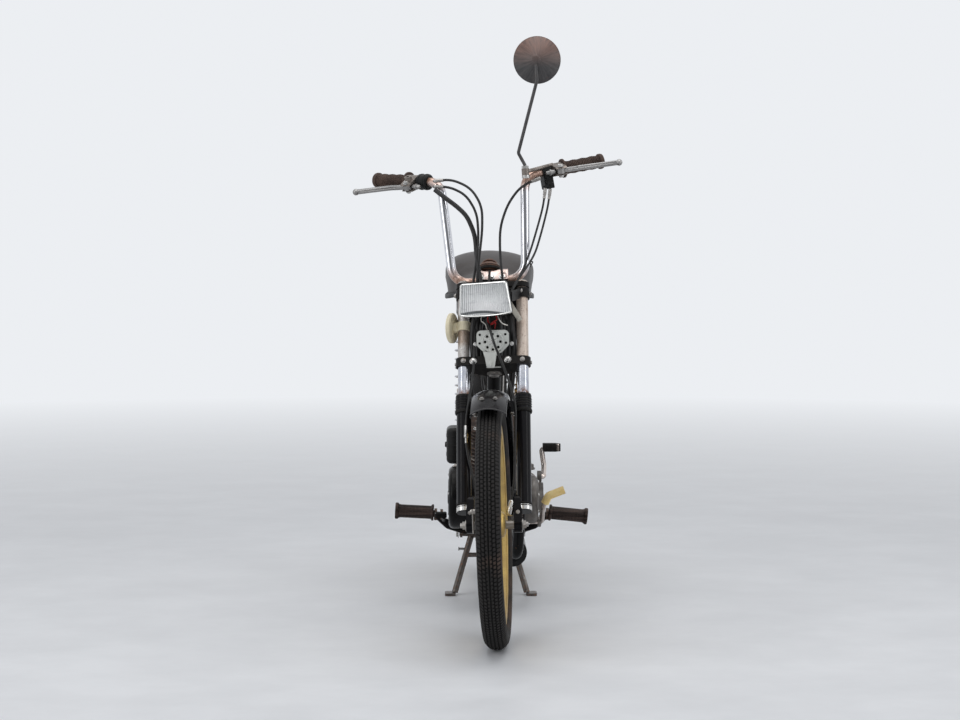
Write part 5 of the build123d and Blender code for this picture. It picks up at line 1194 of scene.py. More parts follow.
disc.ring([(34.4, -3.4), (35.8, -3.4), (35.8, 3.4), (34.4, 3.4)], axis_frame(disc_middle, disc_normal), 64)
disc.done("disc_ridges", "fork", cream, "cream_plastic")

stay = Piece(fork_place)
start, end = Vector((30, -398, 806)), Vector((66, -404, 744))
length = (end - start).length
slope = axis_frame(start, end - start, (0.2, -1, 0))
stay.prism([(-1.6, -6), (1.6, -6), (1.6, 6), (-1.6, 6)], length, slope, 0.6)
for share in (0.42, 0.9):
    stay.bolt(start.lerp(end, share) + Vector((0, -3, 0)), (0.1, -1, 0), 3.4, 2.4)
stay_finish = painted("stay_paint", (0.42, 0.40, 0.35), 0.4, chips=1.2, dust=0.2)
stay.done("lamp_stay", "fork", stay_finish, "horn_grey")

bracket_bolts = Piece(fork_place)
for side in (1, -1):
    bracket_bolts.bolt(steer(side * (leg_half + 18.5), -fork_offset, 875), (side, 0, 0), 4.6, 4.0)
    bracket_bolts.bolt(steer(side * 66, -fork_offset - 19.5, 876), -steer_back, 4.2, 3.4)
bracket_bolts.done("bracket_bolts", "fork", steel, "dull_steel")

# short wires and looms below the headlamp: the radius of each and the points it runs through
for group, finish, wires in (
        ("red_wire", red_wire, (
            (1.5, [(-8, -412, 764), (-10, -420, 747), (-2, -428, 738), (8, -426, 742), (6, -414, 728)]),
            (1.5, [(6, -410, 764), (12, -424, 750), (2, -430, 743), (-6, -422, 734), (-4, -412, 722)]))),
        ("white_wire", white_wire, (
            (1.2, [(12, -414, 764), (16, -426, 752), (24, -424, 740), (36, -412, 734)]),
            (1.2, [(-22, -408, 764), (-26, -414, 748), (-16, -420, 738), (-12, -412, 722)]))),
        ("lamp_loom", cable_black, (
            (3.6, [(-34, -398, 764), (-40, -392, 740), (-36, -380, 712), (-30, -366, 690)]),
            (3.4, [(28, -396, 764), (36, -390, 738), (32, -376, 708), (28, -362, 688)]),
            (2.8, [(-14, -396, 764), (-20, -384, 736), (-26, -372, 704), (-24, -360, 684)]),
            (2.6, [(44, -394, 764), (50, -388, 746), (46, -376, 722), (38, -366, 694)]))),
        ("side_loom", cable_black, (
            (6.2, [(-38, -388, 766), (-47, -398, 732), (-49, -404, 696), (-48, -408, 653)]),
            (5.6, [(-32, -384, 766), (-38, -396, 730), (-38.5, -402, 694), (-37, -408, 653)]),
            (6.2, [(40, -388, 766), (46, -398, 732), (48.5, -404, 696), (48, -408, 653)]),
            (5.6, [(34, -384, 766), (38, -396, 730), (38.5, -402, 694), (37, -408, 653)]),
            (4.8, [(22, -384, 766), (27, -398, 730), (27.5, -404, 694), (26, -408, 653)]),
            (4.8, [(-22, -384, 766), (-28, -398, 730), (-28.5, -404, 694), (-27, -408, 653)])))):
    for number, (size, points) in enumerate(wires, 1):
        wire = Piece(fork_place)
        wire.tube(smooth_path(points, 6), size, 8)
        wire.done(f"{group}_{number}", "fork", finish, "cable_sheath")

# ---------------------------------------------------------------- mudguards' edges

for name, centre, place, body, start, sweep, radius, half, low in (
        ("front_guard_edges", front_axle, fork_place, "fork", 64, 106, 311.0, 40.0, 24.0),
        ("rear_guard_edges", rear_axle, root_place, "frame", 14, 150, 309.0, 45.0, 28.0)):
    edges = Piece(place)
    for side in (1, -1):
        path = []
        for k in range(61):
            angle = math.radians(start + sweep * k / 60)
            path.append(centre + Vector((side * (half - 1), -(radius - low) * math.cos(angle),
                                         (radius - low) * math.sin(angle))))
        edges.tube(path, 1.9, 8)
    for angle in (math.radians(start), math.radians(start + sweep)):
        rim_line = []
        for k in range(21):
            t = k / 10 - 1
            reach = radius - 1 - (14 * t * t)
            rim_line.append(centre + Vector((half * t, -reach * math.cos(angle), reach * math.sin(angle))))
        edges.tube(rim_line, 1.7, 8)
    # the front guard's edges take the paler paint: worn paint and a painted highlight along the edges
    edges.done(name, body, worn_highlit_edge if name[0] == "f" else black, "black_paint")

# ---------------------------------------------------------------- seat

seat_low = 766.0
seat_stations = [
    # distance back, half width, underside and top above the skirt's lowest point
    (66, 40, 12, 34), (74, 58, 7, 44), (110, 68, 6, 50), (180, 78, 9, 58), (250, 81, 12, 65),
    (310, 84, 12, 74),
    (356, 98, 8, 92), (400, 114, 4, 109), (440, 123, 1, 121), (480, 126.5, 0, 127), (550, 124, 0, 125),
    (620, 118.5, 2, 119), (670, 107, 6, 106), (704, 94, 11, 92), (714, 74, 16, 78),
]


def seat_section(back, half, low, high, shrink=0.0):
    """The cover's section: an upright skirt, a rounded shoulder and a low crown."""
    tall = high - low
    shape = [(0.0, low + 3), (0.3, low + 2.8), (0.55, low + 2.5), (0.75, low + 2.2), (0.86, low + 2.2),
             (0.912, low + 3.6), (0.932, low + 0.055 * tall), (0.943, low + 0.12 * tall),
             (0.955, low + 0.22 * tall), (0.975, low + 0.38 * tall), (0.995, low + 0.54 * tall),
             (0.975, low + 0.68 * tall), (0.88, low + 0.80 * tall), (0.70, low + 0.885 * tall),
             (0.45, low + 0.955 * tall), (0.2, low + 0.99 * tall), (0.0, high)]
    points = smooth_path([Vector((x * half, 0, z)) for x, z in shape], 3)
    right = [Vector((p.x, back, seat_low + p.z)) for p in points]
    left = [Vector((-p.x, p.y, p.z)) for p in right[-2:0:-1]]
    middle_z = seat_low + (low + high) / 2
    ring = []
    for p in right + left:
        reach = max(1.0, math.hypot(p.x, p.z - middle_z))
        scale = 1 - shrink / reach
        ring.append(Vector((p.x * scale, p.y, middle_z + (p.z - middle_z) * scale)))
    return ring


def seat_rows(shrink):
    lines = [smooth_path([Vector(station[:2] + (0,)) for station in seat_stations], 4),
             smooth_path([Vector((station[0], station[2], station[3])) for station in seat_stations], 4)]
    rows = []
    for width, heights in zip(*lines):
        rows.append(seat_section(width.x, width.y, heights.y, heights.z, shrink))
    return rows


pad = Piece(root_place)
pad.grid(seat_rows(3.5), around=True, caps=True)
seat_piece = pad.done("seat_cover", "frame", seat_cover, "seat_vinyl", 60, ("seat",))


def inflate(piece, voxel, pressure, cap):
    """Remeshes a closed form and lets cloth swell it a little, each point by no more than a cap."""
    remesh = piece.modifiers.new("remesh", "REMESH")
    remesh.mode = "VOXEL"
    remesh.voxel_size = voxel
    graph = bpy.context.evaluated_depsgraph_get()
    piece.data = bpy.data.meshes.new_from_object(piece.evaluated_get(graph))
    piece.modifiers.clear()
    rest = [vert.co.copy() for vert in piece.data.vertices]
    cloth = piece.modifiers.new("cloth", "CLOTH")
    cloth.settings.use_pressure = True
    cloth.settings.uniform_pressure_force = pressure
    cloth.settings.effector_weights.gravity = 0.0
    cloth.settings.tension_stiffness = 25
    cloth.settings.compression_stiffness = 25
    for step in range(1, 21):
        scene.frame_set(step)
    graph = bpy.context.evaluated_depsgraph_get()
    swollen = bpy.data.meshes.new_from_object(piece.evaluated_get(graph))
    piece.modifiers.clear()
    scene.frame_set(1)
    for vert, start in zip(swollen.vertices, rest):
        move = vert.co - start
        if move.length > cap:
            vert.co = start + move.normalized() * cap
    piece.data = swollen
    smooth = piece.modifiers.new("smooth", "SUBSURF")
    smooth.levels = smooth.render_levels = 1
    graph = bpy.context.evaluated_depsgraph_get()
    piece.data = bpy.data.meshes.new_from_object(piece.evaluated_get(graph))
    piece.modifiers.clear()
    for polygon in piece.data.polygons:
        polygon.use_smooth = True


inflate(seat_piece, 0.006, 4.0, 0.004)

trim = Piece(root_place)
strip = [(row[0].y, 0.948 * max(p.x for p in row), row[0].z - 3) for row in seat_rows(0)]
for side in (1, -1):
    rows = []
    for back, half, low in strip[2:-2]:
        rows.append([Vector((side * (half - 7), back, low - 1)),
                     Vector((side * (half - 0.6), back, low - 1.6)),
                     Vector((side * (half + 1.0), back, low + 1)),
                     Vector((side * (half + 0.8), back, low + 9)),
                     Vector((side * (half - 0.4), back, low + 11)), Vector((side * (half - 7), back, low + 6))])
    trim.grid(rows, around=True, caps=True)
trim.done("seat_trim", "frame", moulded, "black_plastic")
piping = Piece(root_place)
shoulder = 35       # which point of each section the piping follows
for side in (1, -1):
    piping.tube([row[side * shoulder] for row in seat_rows(0)[3:-3]], 1.7, 8)
piping.done("seat_piping", "frame", dark_rubber, "seat_vinyl")

# ---------------------------------------------------------------- rear suspension, chain and sprocket

shocks = Piece(root_place)
springs = Piece(root_place)
shock_bushes = Piece(root_place)
shock_half = 78
for side in (1, -1):
    low = Vector((side * shock_half, 520, 327.98))
    high = Vector((side * shock_half, 478, 700))
    run = high - low
    frame = axis_frame(low, run)
    length = run.length
    shocks.lathe([(5, 8), (9, 12), (12, 17), (12, 62), (16.6, 64), (16.6, 68), (10.5, 70), (10.5, 190),
                  (6, 194),
                  (6, length - 34), (14.6, length - 32), (16.6, length - 29), (16.6, length - 26),
                  (12, length - 22),
                  (5, length - 11)], frame, 32)
    springs.tube(helix(frame @ Matrix.Translation((0, 0, 69)), 14.2, length - 29 - 69, 11.5, 22), 2.4, 8)
    for place in (low, high):
        eye = axis_frame(place - Vector((4.6 * side, 0, 0)), (side, 0, 0))
        shocks.ring([(7, 0), (13, 0), (13, 10), (7, 10)], eye, 30)
        shock_bushes.ring([(4.5, -0.4), (8, -0.4), (8, 10.6), (4.5, 10.6)], eye, 24)
        shock_bushes.bolt(place + Vector((side * 6, 0, 0)), (side, 0, 0), 6.5, 4.6)
shocks.done("shock_bodies", "frame", rusty_chrome, "chrome", 38, ("rear_shocks",))
springs.done("shock_springs", "frame", chrome, "chrome", 60)
shock_bushes.done("shock_bolts", "frame", steel, "dull_steel")

drive_centre = Vector((0, 85, 272))
chain_line = []
small, large = 31.4, 79.4
between_centres = rear_axle - drive_centre
gap = math.hypot(between_centres.y, between_centres.z)
lean = math.atan2(between_centres.z, between_centres.y)
open_angle = math.acos((small - large) / gap)
for centre, radius, start, sweep in ((drive_centre, small, lean + open_angle, 2 * math.pi - 2 * open_angle),
                                     (rear_axle, large, lean - open_angle, 2 * open_angle)):
    for k in range(41):
        angle = start + sweep * k / 40
        chain_line.append(Vector((0, centre.y + radius * math.cos(angle),
                                  centre.z + radius * math.sin(angle))))
chain_line.append(chain_line[0].copy())
lengths = [0.0]
for first, second in zip(chain_line, chain_line[1:]):
    lengths.append(lengths[-1] + (second - first).length)
chain_pitch = 12.7
links = 2 * round(lengths[-1] / chain_pitch / 2)
pins = []
index = 0
for k in range(links):
    want = lengths[-1] * k / links
    while lengths[index + 1] < want:
        index += 1
    share = (want - lengths[index]) / (lengths[index + 1] - lengths[index])
    pins.append(chain_line[index].lerp(chain_line[index + 1], share))
chain = Piece(root_place)
for k, pin in enumerate(pins):
    after = pins[(k + 1) % links]
    ahead = (after - pin).normalized()
    reach = (after - pin).length
    out = 3.9 if k % 2 else 2.7         # outer and inner plates by turns
    plate = [on_circle(angle, 4.0) for angle in (90, 126, 162, 198, 234, 270)] + [(reach / 2, -2.9)]
    plate += [(reach + 4.0 * math.cos(math.radians(angle)), 4.0 * math.sin(math.radians(angle)))
              for angle in (270, 306, 342, 18, 54, 90)] + [(reach / 2, 2.9)]
    for side in (1, -1):
        frame = axis_frame(Vector((chain_x + side * out, pin.y, pin.z)), (side, 0, 0), ahead)
        chain.prism(plate, 1.0, frame)
    roller = axis_frame(Vector((chain_x - 5.4, pin.y, pin.z)), (1, 0, 0))
    chain.lathe([(1.9, 0), (1.9, 2.6), (3.6, 2.7), (3.6, 8.1), (1.9, 8.2), (1.9, 10.8)], roller, 8)
chain.done("chain_links", "frame", brown_steel, "rusty_steel", 30, ("chain",))

teeth = Piece(root_place)
tooth_count = 39
outline = []
for k in range(tooth_count):
    for share, radius in ((0.0, 71.8), (0.18, 72.2), (0.38, 75.3), (0.62, 75.3), (0.82, 72.2)):
        angle = 2 * math.pi * (k + share) / tooth_count
        outline.append((radius * math.cos(angle), radius * math.sin(angle)))
ring_frame = axis_frame(Vector((chain_x, rear_axle.y, rear_axle.z)) - Vector((1.4, 0, 0)), (1, 0, 0))
inner_ring = [(68 * cos, 68 * sin) for cos, sin in circle(len(outline))]
teeth.grid([[(x, y, height) for x, y in line] for line, height in (
    (inner_ring, 0), (outline, 0), (outline, 2.8), (inner_ring, 2.8), (inner_ring, 0))], around=True, frame=ring_frame)
for k in range(4):
    angle = math.pi / 4 + k * math.pi / 2
    place = Vector((-52.4, rear_axle.y + 34 * math.cos(angle), rear_axle.z + 34 * math.sin(angle)))
    teeth.bolt(place, (-1, 0, 0), 5, 3.6)
teeth.done("sprocket_teeth", "rear_wheel", brown_steel, "rusty_steel", 30)

tail_bits = Piece(root_place)
for side in (1, -1):
    end = rear_axle + Vector((side * 91, 0, 0))
    tail_bits.lathe([(12.5, -0.5), (12.5, 1.6), (11.5, 2.0)],
                    axis_frame(end - Vector((side * 0.5, 0, 0)), (side, 0, 0)), 24)
    tail_bits.lathe([(5.8, 0), (5.8, 8), (4.9, 9)], axis_frame(end, (side, 0, 0)), 16)
    # the chain adjuster's plate and its bolt behind the eye
    tail_bits.slab((3, 26, 30), axis_frame(rear_axle + Vector((side * 87.4, -15, 0)), (0, 1, 0), (1, 0, 0)),
                   0.8)
    tail_bits.lathe([(3, 0), (3, 34)], axis_frame(rear_axle + Vector((side * 74, 8, 0)), (0, 1, 0)), 12)
    tail_bits.bolt(rear_axle + Vector((side * 74, 34, 0)), (0, 1, 0), 5.2, 5.0, False)
    tail_bits.bolt(Vector((side * 94, 195, 285)), (side, 0, 0), 9.5, 6.0)
# the rear brake's lever, its rod and the nut on it
cam = rear_axle + Vector((47, -26, -32))
tail_bits.lathe([(6, -4), (6, 5), (4, 7)], axis_frame(cam, (1, 0, 0)), 18)
cam_frame = axis_frame(cam + Vector((2, 0, 0)), (1, 0, 0), (0, 1, 0)) @ Matrix.Rotation(math.pi, 4, "Z")
tail_bits.prism([(-5.5, -5.5), (5.5, -5.5), (4, 40), (-4, 40)], 3.2, cam_frame, 0.8)
tail_bits.tube([cam + Vector((3.6, 6, -36)), cam + Vector((3.6, -120, -52)), Vector((52, 200, 192)),
                Vector((52, 150, 190))], 2.6, 10)
tail_bits.bolt(cam + Vector((3.6, 5, -36)), (0, 1, -0.1), 5.0, 6.0, False)
tail_bits.done("rear_hardware", "frame", steel, "dull_steel")

# ---------------------------------------------------------------- engine

lean_angle = math.radians(20)
barrel_up = Vector((0, -math.sin(lean_angle), math.cos(lean_angle)))
barrel_back = Vector((0, math.cos(lean_angle), math.sin(lean_angle)))
crank = Vector((0, -70, 288))


def barrel(x, back, height):
    return crank + Vector((x, 0, 0)) + barrel_back * back + barrel_up * height


screws = Piece(root_place)
for y, z, radius, angles in ((-50, 280, 50, (60, 110, 160, 210, 260, 300)),
                             (66, 272, 50, (-60, -15, 30, 75))):
    for angle in angles:
        a = math.radians(angle)
        screws.screw((114.6, y + radius * math.cos(a), z + radius * math.sin(a)), (1, 0, 0), 3.4, 2.4)
for k in range(5):
    a = math.radians(72 * k + 20)
    screws.screw((-108.6, -70 + 58 * math.cos(a), 288 + 58 * math.sin(a)), (-1, 0, 0), 3.2, 2.2)
for x, back in ((-40, -38), (40, -38), (-40, 38), (40, 38)):
    screws.bolt(barrel(x, back, 206), barrel_up, 6, 5)
screws.bolt((-4, -20, 214), (0, 0, -1), 9, 5)
screws.bolt((115.5, 66, 262), (1, 0, 0), 5, 3)
for x in (-17, 17):
    screws.bolt(barrel(x, -67, 104) + Vector((x * 0.4, 0, 0)), -barrel_back, 4.6, 4.0)
screws.done("engine_screws", "frame", bright_steel, "dull_steel")

covers = Piece(root_place)
face = axis_frame((-109, -70, 288), (-1, 0, 0))
for radius in (30, 44):
    ridge = [(radius - 1.6, -0.4), (radius - 0.9, 1.1), (radius + 0.9, 1.1), (radius + 1.6, -0.4)]
    covers.ring(ridge, face, 56)
covers.lathe([(17, -0.4), (17, 1.6), (14, 2.6), (8, 3)], face, 36)
for k in range(12):
    around = face @ Matrix.Rotation(math.radians(30 * k), 4, "Z") @ Matrix.Translation((0, 36.8, -0.2))
    covers.slab((2.2, 9.5, 1.3), around, 0.3, 1)
covers.done("magneto_ribs", "frame", black, "black_paint")
clutch = Piece(root_place)
raised = axis_frame((130.6, 66, 274), (1, 0, 0))
clutch.ring([(30, -0.8), (31, 0.9), (34, 0.9), (35, -0.8)], raised, 56)
clutch.lathe([(9, -0.6), (9, 0.8), (7, 2.2), (3, 2.6)], raised, 28)
clutch.ring([(10.5, 115), (15, 115), (15, 124), (12.5, 126), (10.5, 126)],
            axis_frame((0, 20, 330), (1, 0, 0)), 28)
clutch.ring([(8, 114), (13, 114), (13, 121), (10.5, 122.5), (8, 122.5)],
            axis_frame((0, -52, 224), (1, 0, 0)), 28)
clutch.lathe([(12, 0), (12, 3), (9, 6), (9, 12), (5, 14)], axis_frame((94, -84, 360), (0, -0.1, 1)), 20)
clutch.done("clutch_ribs", "frame", alloy, "cast_alloy")

plug = Piece(root_place)
plug_frame = axis_frame(barrel(0, 0, 212), barrel_up)
plug.lathe([(11, 0), (11, 5), (8, 6), (6, 8), (5.2, 22)], plug_frame, 6)
plug.done("spark_plug", "frame", white_wire, "cream_plastic")
plug_cap = Piece(root_place)
path = smooth_path([barrel(0, 0, 221), barrel(0, 0, 238), barrel(0, 8, 250), barrel(0, 24, 254)], 5)
plug_cap.tube(path, [8.5] * 5 + [9.5] * 6 + [8.0] * 5, 16)
plug_cap.tube(smooth_path([barrel(0, 22, 254), barrel(-4, 44, 262), Vector((-20, -66, 580)),
                           Vector((-28, -20, 628)),
                           Vector((-30, 8, 678))], 8), 3.4, 10)
plug_cap.done("plug_cap", "frame", dark_rubber, "black_plastic")

carb = Piece(root_place)
carb_back = barrel(0, 66, 104)
for reach in (2, 46):
    carb.ring([(17.5, -3.2), (20.2, -3.2), (20.2, 3.2), (17.5, 3.2)],
              axis_frame(carb_back + barrel_back * reach, barrel_back), 30)
bowl = carb_back + Vector((0, 24, 0))
carb.lathe([(16, 40), (17.5, 41), (17.5, 47), (14, 50), (8, 51), (5, 58), (4, 60)],
           axis_frame(bowl, (0, 0, 1)), 28)
carb.slab((42.5, 40.5, 3), axis_frame(bowl - Vector((0, 0, 22)), (0, 0, 1)), 0.8)
for x in (-16, 16):
    for y in (-14, 14):
        carb.screw(bowl + Vector((x, y, -44)), (0, 0, -1), 3, 2)
carb.lathe([(5.5, 0), (5.5, 5), (3, 7)], axis_frame(bowl - Vector((0, 0, 44)), (0, 0, -1)), 6)
carb.tube([bowl + Vector((21, -6, 4)), bowl + Vector((31, -6, 4)), bowl + Vector((33, -6, 20))], 2.4, 8)
carb.done("carburettor_trim", "frame", steel, "dull_steel")

box = Piece(root_place)
box_corner = 20
box_frame = Matrix.Translation((-115 + 62 / 2, 44 + 104 / 2, 359))      # the middle of the air box's floor
for height in (22, 46, 70):
    rows = [rounded_loop(62 / 2 - box_corner, 104 / 2 - box_corner, box_corner + grow, height + lift, 40)
            for grow, lift in ((-1.2, -2.2), (1.1, -1.3), (1.1, 1.3), (-1.2, 2.2))]
    box.grid(rows + [rows[0]], around=True, frame=box_frame)
for y in (70, 122):
    box.bolt((-115.4, y, 405), (-1, 0, 0), 4.0, 2.6)
box.ring([(14.8, -4), (17.2, -4), (17.2, 4), (14.8, 4)],
         axis_frame(Vector((-54, 80, 404)), Vector((-0.8, 0.5, 0))), 28)
box.done("air_box_ribs", "frame", moulded, "black_plastic")

bands = Piece(root_place)
silencer_start, silencer_run = Vector((104, 300, 226)), Vector((0, 1, 0.03)).normalized()
silencer = axis_frame(silencer_start, silencer_run)
for height in (62, 96, 396):
    bands.ring([(32.6, height - 3.4), (34.4, height - 3.0), (34.4, height + 3.0), (32.6, height + 3.4)],
               silencer, 48)
bands.ring([(10.4, 474), (12.8, 474), (12.8, 481.5), (10.4, 481.5)], silencer, 30)
bands.bolt(silencer_start + silencer_run * 96 + Vector((0, 0, 34)), (0, 0, 1), 5, 4)
port_out = barrel(0, -66, 104)
bands.ring([(15, -3), (23, -3), (23, 3), (15, 3)], axis_frame(port_out - barrel_back * 2, -barrel_back), 32)
bands.done("exhaust_bands", "frame", rusty_chrome, "chrome")
# a dark disc in the tailpipe's mouth: painted shade for the open pipe
outlet = Piece(root_place)
outlet.lathe([(10.2, 479.6), (10.2, 480.6)], silencer, 24)
outlet.done("exhaust_mouth", "frame", dark_rubber, "black_plastic")

# ---------------------------------------------------------------- pegs and pedals

peg_bends = {1: math.radians(-6), -1: math.radians(3)}
pegs = Piece(root_place)
clamps = Piece(root_place)
for side in (1, -1):
    bend = peg_bends[side]
    inner = Vector((side * 148, 100, 229))
    out = Vector((side * math.cos(bend), 0, math.sin(bend)))
    frame = axis_frame(inner, out, (0, 0, 1))
    rows = []
    for height, radius in ((0, 8.2), (0, 20), (1, 21), (4.5, 21), (6, 19), (7.5, 16), (84, 16), (89, 17),
                           (91, 20),
                           (92.5, 21), (97.5, 21), (99, 19.5), (99, 6)):
        # every other point of the sleeve between the end discs stands out, as a fine flute
        row = []
        for k, (cos, sin) in enumerate(circle(36)):
            flute = 1 + (0.05 if radius < 18 and k % 2 else 0)
            row.append((radius * cos * flute, radius * sin * flute, height))
        rows.append(row)
    pegs.grid(rows, around=True, caps=True, frame=frame)
    for k in range(9):
        height = 12 + 8.6 * k
        pegs.ring([(15.6, height - 1.2), (16.9, height - 0.6), (16.9, height + 0.6), (15.6, height + 1.2)],
                  frame, 36)
    for reach in (-5, -20):
        clamps.ring([(8, -3.5), (11.5, -3.5), (11.5, 3.5), (8, 3.5)],
                    axis_frame(inner + out * reach - Vector((0, 0, 0.5 if reach > -10 else 1.6)), out), 24)
    clamps.bolt(inner + out * -5 + Vector((0, 0, -10)), (0, 0, -1), 4.8, 8)
    clamps.bolt(inner + out * -20 + Vector((0, 0, -11)), (0, -0.3, -1), 4.8, 5)
pegs.done("peg_sleeves", "frame", peg_rubber, "aged_rubber", 38, ("peg_rubbers",))
clamps.done("peg_clamps", "frame", brown_steel, "rusty_steel")

kick = Piece(root_place)
frame = axis_frame((134, 158, 391), (1, 0, 0), (0, 1, 0))


def squarer(value):
    """Pushes a sine or cosine outwards, so that a circle becomes a rounded square."""
    return math.copysign(abs(value) ** 0.5, value)


rows = []
for k in range(15):
    height = -0.5 + 3.1 * k
    for lift, grow in ((0.0, 0.0), (0.5, 0.9), (1.9, 0.9), (2.4, 0.0)):
        taper = 1.0 - 0.12 * max(0, k - 10) / 4
        rows.append([((13.6 + grow) * taper * squarer(cos), (10.6 + grow) * taper * squarer(sin),
                      height + lift)
                     for cos, sin in circle(28)])
kick.grid(rows, around=True, caps=True, frame=frame)
kick.done("kick_rubber", "frame", dark_rubber, "aged_rubber")
pedal = Piece(root_place)
for k in range(5):
    pedal.slab((26, 3.4, 2.2), axis_frame((-129, -40 + 7 * k, 242.6), (0, 0, 1)), 0.6, 1)
pedal.done("brake_pedal_pad", "frame", dark_rubber, "aged_rubber")

# ---------------------------------------------------------------- tank, tail and stand

tank = Piece(root_place)
cap_frame = axis_frame((0, -150, 820.5), (0, -0.12, 1))
tank.lathe([(20, -4), (20, 1), (26, 2), (27, 5), (27, 11), (25, 14), (16, 16), (0.1, 16.6)], cap_frame, 40)
for k in range(18):
    around = cap_frame @ Matrix.Rotation(math.radians(20 * k), 4, "Z") @ Matrix.Translation((0, 27, 4))
    tank.slab((4.2, 1.8, 7.4), around, 0.4, 1)
tank.done("tank_cap", "frame", rusty_chrome, "chrome")
tap = Piece(root_place)
tap.lathe([(9, 0), (9, 10), (6, 12), (6, 26), (8, 27), (8, 42), (5, 44)],
          axis_frame((30, 24, 672), (0, 0, -1)), 18)
fuel_pipe = [(30, 24, 630), (32, 30, 600), (30, 26, 540), (25, 14, 492), (18, 4, 452), (17, 0, 432)]
tap.tube(smooth_path(fuel_pipe, 6), 3.4, 10)
tap.slab((16, 5, 5), axis_frame((30, 33, 652), (0, 1, 0)), 1.0)
tap.done("fuel_tap", "frame", steel, "dull_steel")

tail_angle = math.radians(32)
tail_out = Vector((0, math.cos(tail_angle), math.sin(tail_angle)))
tail = Piece(root_place)
tail_frame = axis_frame(rear_axle + tail_out * 316, tail_out, (1, 0, 0))
for height, grow in ((3.5, 1.6), (16, 1.0)):
    rows = []
    for inset, lift in ((-0.5, -2.6), (grow, -2.0), (grow, 2.0), (-0.5, 2.6)):
        rows.append(rounded_loop(33.2, 17.2, 8 + inset, height + lift, 36))
    tail.grid(rows + [rows[0]], around=True, frame=tail_frame)
tail.done("tail_lamp_rims", "frame", moulded, "black_plastic")

stand_bits = Piece(root_place)
for side in (1, -1):
    stand_bits.bolt(Vector((side * 84.5, 235, 156)), (side, 0, 0), 8, 5)
    stand_bits.lathe([(3.2, 0), (3.2, 16), (5, 16.5), (5, 19)],
                     axis_frame(Vector((side * 66, 226, 118)), (side, 0, 0)), 12)
stand_bits.done("stand_nuts", "stand", bright_steel, "dull_steel")

frame_bits = Piece(root_place)
for side in (1, -1):
    frame_bits.bolt((side * 11, -236, 322), (side, 0, 0), 7, 5)
    frame_bits.bolt((side * 41, 168, 296), (side, 0, 0), 6.5, 4.5)
    for y in (200, 600):
        frame_bits.bolt((side * 80, y, 740), (0, 0, -1), 4.6, 4)
for height in (717, 882.5):
    frame_bits.ring([(19, -1.5), (23.4, -1.5), (24.2, 0), (23.4, 1.5), (19, 1.5)],
                    axis_frame(steer(0, 0, height), steer_up), 36)
frame_bits.done("frame_bolts", "frame", steel, "dull_steel")
ties = Piece(root_place)
for point, run, radius in (((29, -254, 515), (1, 4, -80), 5.2), ((30, -262, 590), (1, 6, -74), 5.2),
                           ((-28, -172, 612), (2, 62, -48), 5.2), ((-30, -236, 664), (1, 64, -52), 5.2)):
    ties.ring([(3.2, -2.2), (4.4, -2.2), (4.4, 2.2), (3.2, 2.2)], axis_frame(Vector(point), run), 16)
ties.done("cable_ties", "frame", dark_rubber, "black_plastic")


# ---------------------------------------------------------------- stage, light and camera

wall_colour = (0.84, 0.86, 0.89)
floor_half = 40
floor_mesh = bpy.data.meshes.new("floor")
floor_mesh.from_pydata([(x * floor_half, y * floor_half, 0) for x, y in ((-1, -1), (1, -1), (1, 1), (-1, 1))],
                       [], [(0, 1, 2, 3)])
floor = bpy.data.objects.new("floor", floor_mesh)
scene.collection.objects.link(floor)
floor_finish = Finish("floor_pale", (0.70, 0.71, 0.73), 0.55)
grain = floor_finish.noise(3, 5, 0.6)
floor_finish.put("Base Color", floor_finish.mix(floor_finish.between(grain, 0.35, 0.65), (0.66, 0.67, 0.69),
                                                (0.74, 0.75, 0.77)))
floor_finish.put("Roughness", floor_finish.between(grain, 0.3, 0.7, 0.42, 0.6))
far_glow = floor_finish.node("Emission", {"Color": wall_colour, "Strength": 1.0})
fade = floor_finish.between(floor_finish.distance((0, 0, 0)), 2.0, 7.0)
blend = floor_finish.node("MixShader", {0: fade})
floor_finish.tree.links.new(floor_finish.shader.outputs["BSDF"], blend.inputs[1])
floor_finish.tree.links.new(far_glow.outputs["Emission"], blend.inputs[2])
floor_finish.tree.links.new(blend.outputs["Shader"],
                            floor_finish.tree.nodes["Material Output"].inputs["Surface"])
floor.data.materials.append(floor_finish.material)

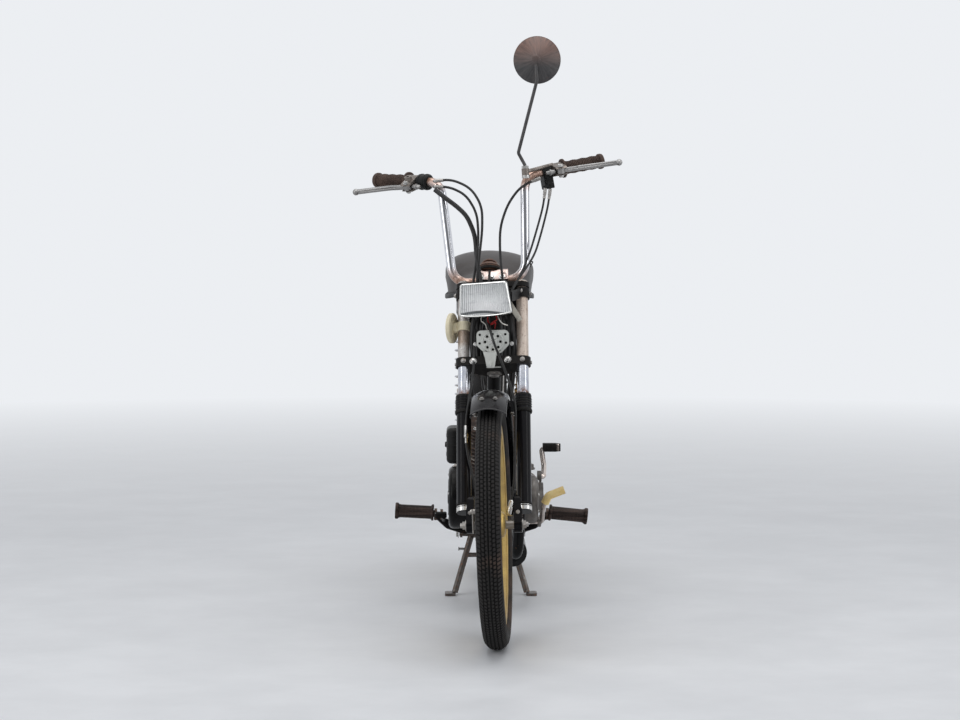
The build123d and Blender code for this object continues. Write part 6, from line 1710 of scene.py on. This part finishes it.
world = bpy.data.worlds.new("studio")
scene.world = world
world.use_nodes = True
tree = world.node_tree
background = tree.nodes["Background"]
path = add_node(tree, "LightPath").outputs
either = add_node(tree, "Math", {0: path["Is Glossy Ray"], 1: path["Is Transmission Ray"]},
                  operation="MAXIMUM")
seen = add_node(tree, "Math", {0: path["Is Camera Ray"], 1: either.outputs[0]}, operation="MAXIMUM")
strength = add_node(tree, "MapRange", {"Value": seen.outputs[0], "To Min": 0.55, "To Max": 1.0})
# what shiny pieces see in front of the vehicle is dimmer than the rest of the studio
bearing = add_node(tree, "TexCoord").outputs["Generated"]
ahead = add_node(tree, "VectorMath", {0: bearing, 1: (0, -0.995, 0.1)},
                 operation="DOT_PRODUCT").outputs["Value"]
dim = add_node(tree, "MapRange", {"Value": ahead, "From Min": 0.80, "From Max": 0.985, "To Min": 1.0,
                                  "To Max": 0.22},
               interpolation_type="SMOOTHSTEP")
no_camera = add_node(tree, "Math", {0: path["Is Camera Ray"], 1: dim.outputs["Result"]}, operation="MAXIMUM")
level = add_node(tree, "Math", {0: strength.outputs["Result"], 1: no_camera.outputs[0]}, operation="MULTIPLY")
feed(tree.links, background.inputs["Strength"], level.outputs[0])
background.inputs["Color"].default_value = (*wall_colour, 1)


def lamp(name, size, place, target, power):
    data = bpy.data.lights.new(name, "AREA")
    data.shape = "RECTANGLE"
    data.size, data.size_y = size
    data.energy = power
    made = bpy.data.objects.new(name, data)
    made.location = place
    made.rotation_euler = (Vector(target) - Vector(place)).to_track_quat("-Z", "Y").to_euler()
    scene.collection.objects.link(made)


lamp("top_lamp", (3.4, 3.4), (0.0, -0.6, 4.2), (0, 0, 0.4), 70)
lamp("left_lamp", (1.2, 2.8), (-3.6, -2.6, 2.2), (0, 0, 0.7), 34)
lamp("right_lamp", (1.2, 2.8), (3.8, -2.2, 2.2), (0, 0, 0.7), 28)

camera_data = bpy.data.cameras.new("camera")
camera_data.lens = 96
camera_data.sensor_width = 36
camera = bpy.data.objects.new("camera", camera_data)
scene.collection.objects.link(camera)
camera.location = (-0.078, -6.435, 1.03)
camera.rotation_euler = (math.radians(90 - 3.58), 0, -math.atan(0.0093))
scene.camera = camera

scene.view_settings.view_transform = "Standard"
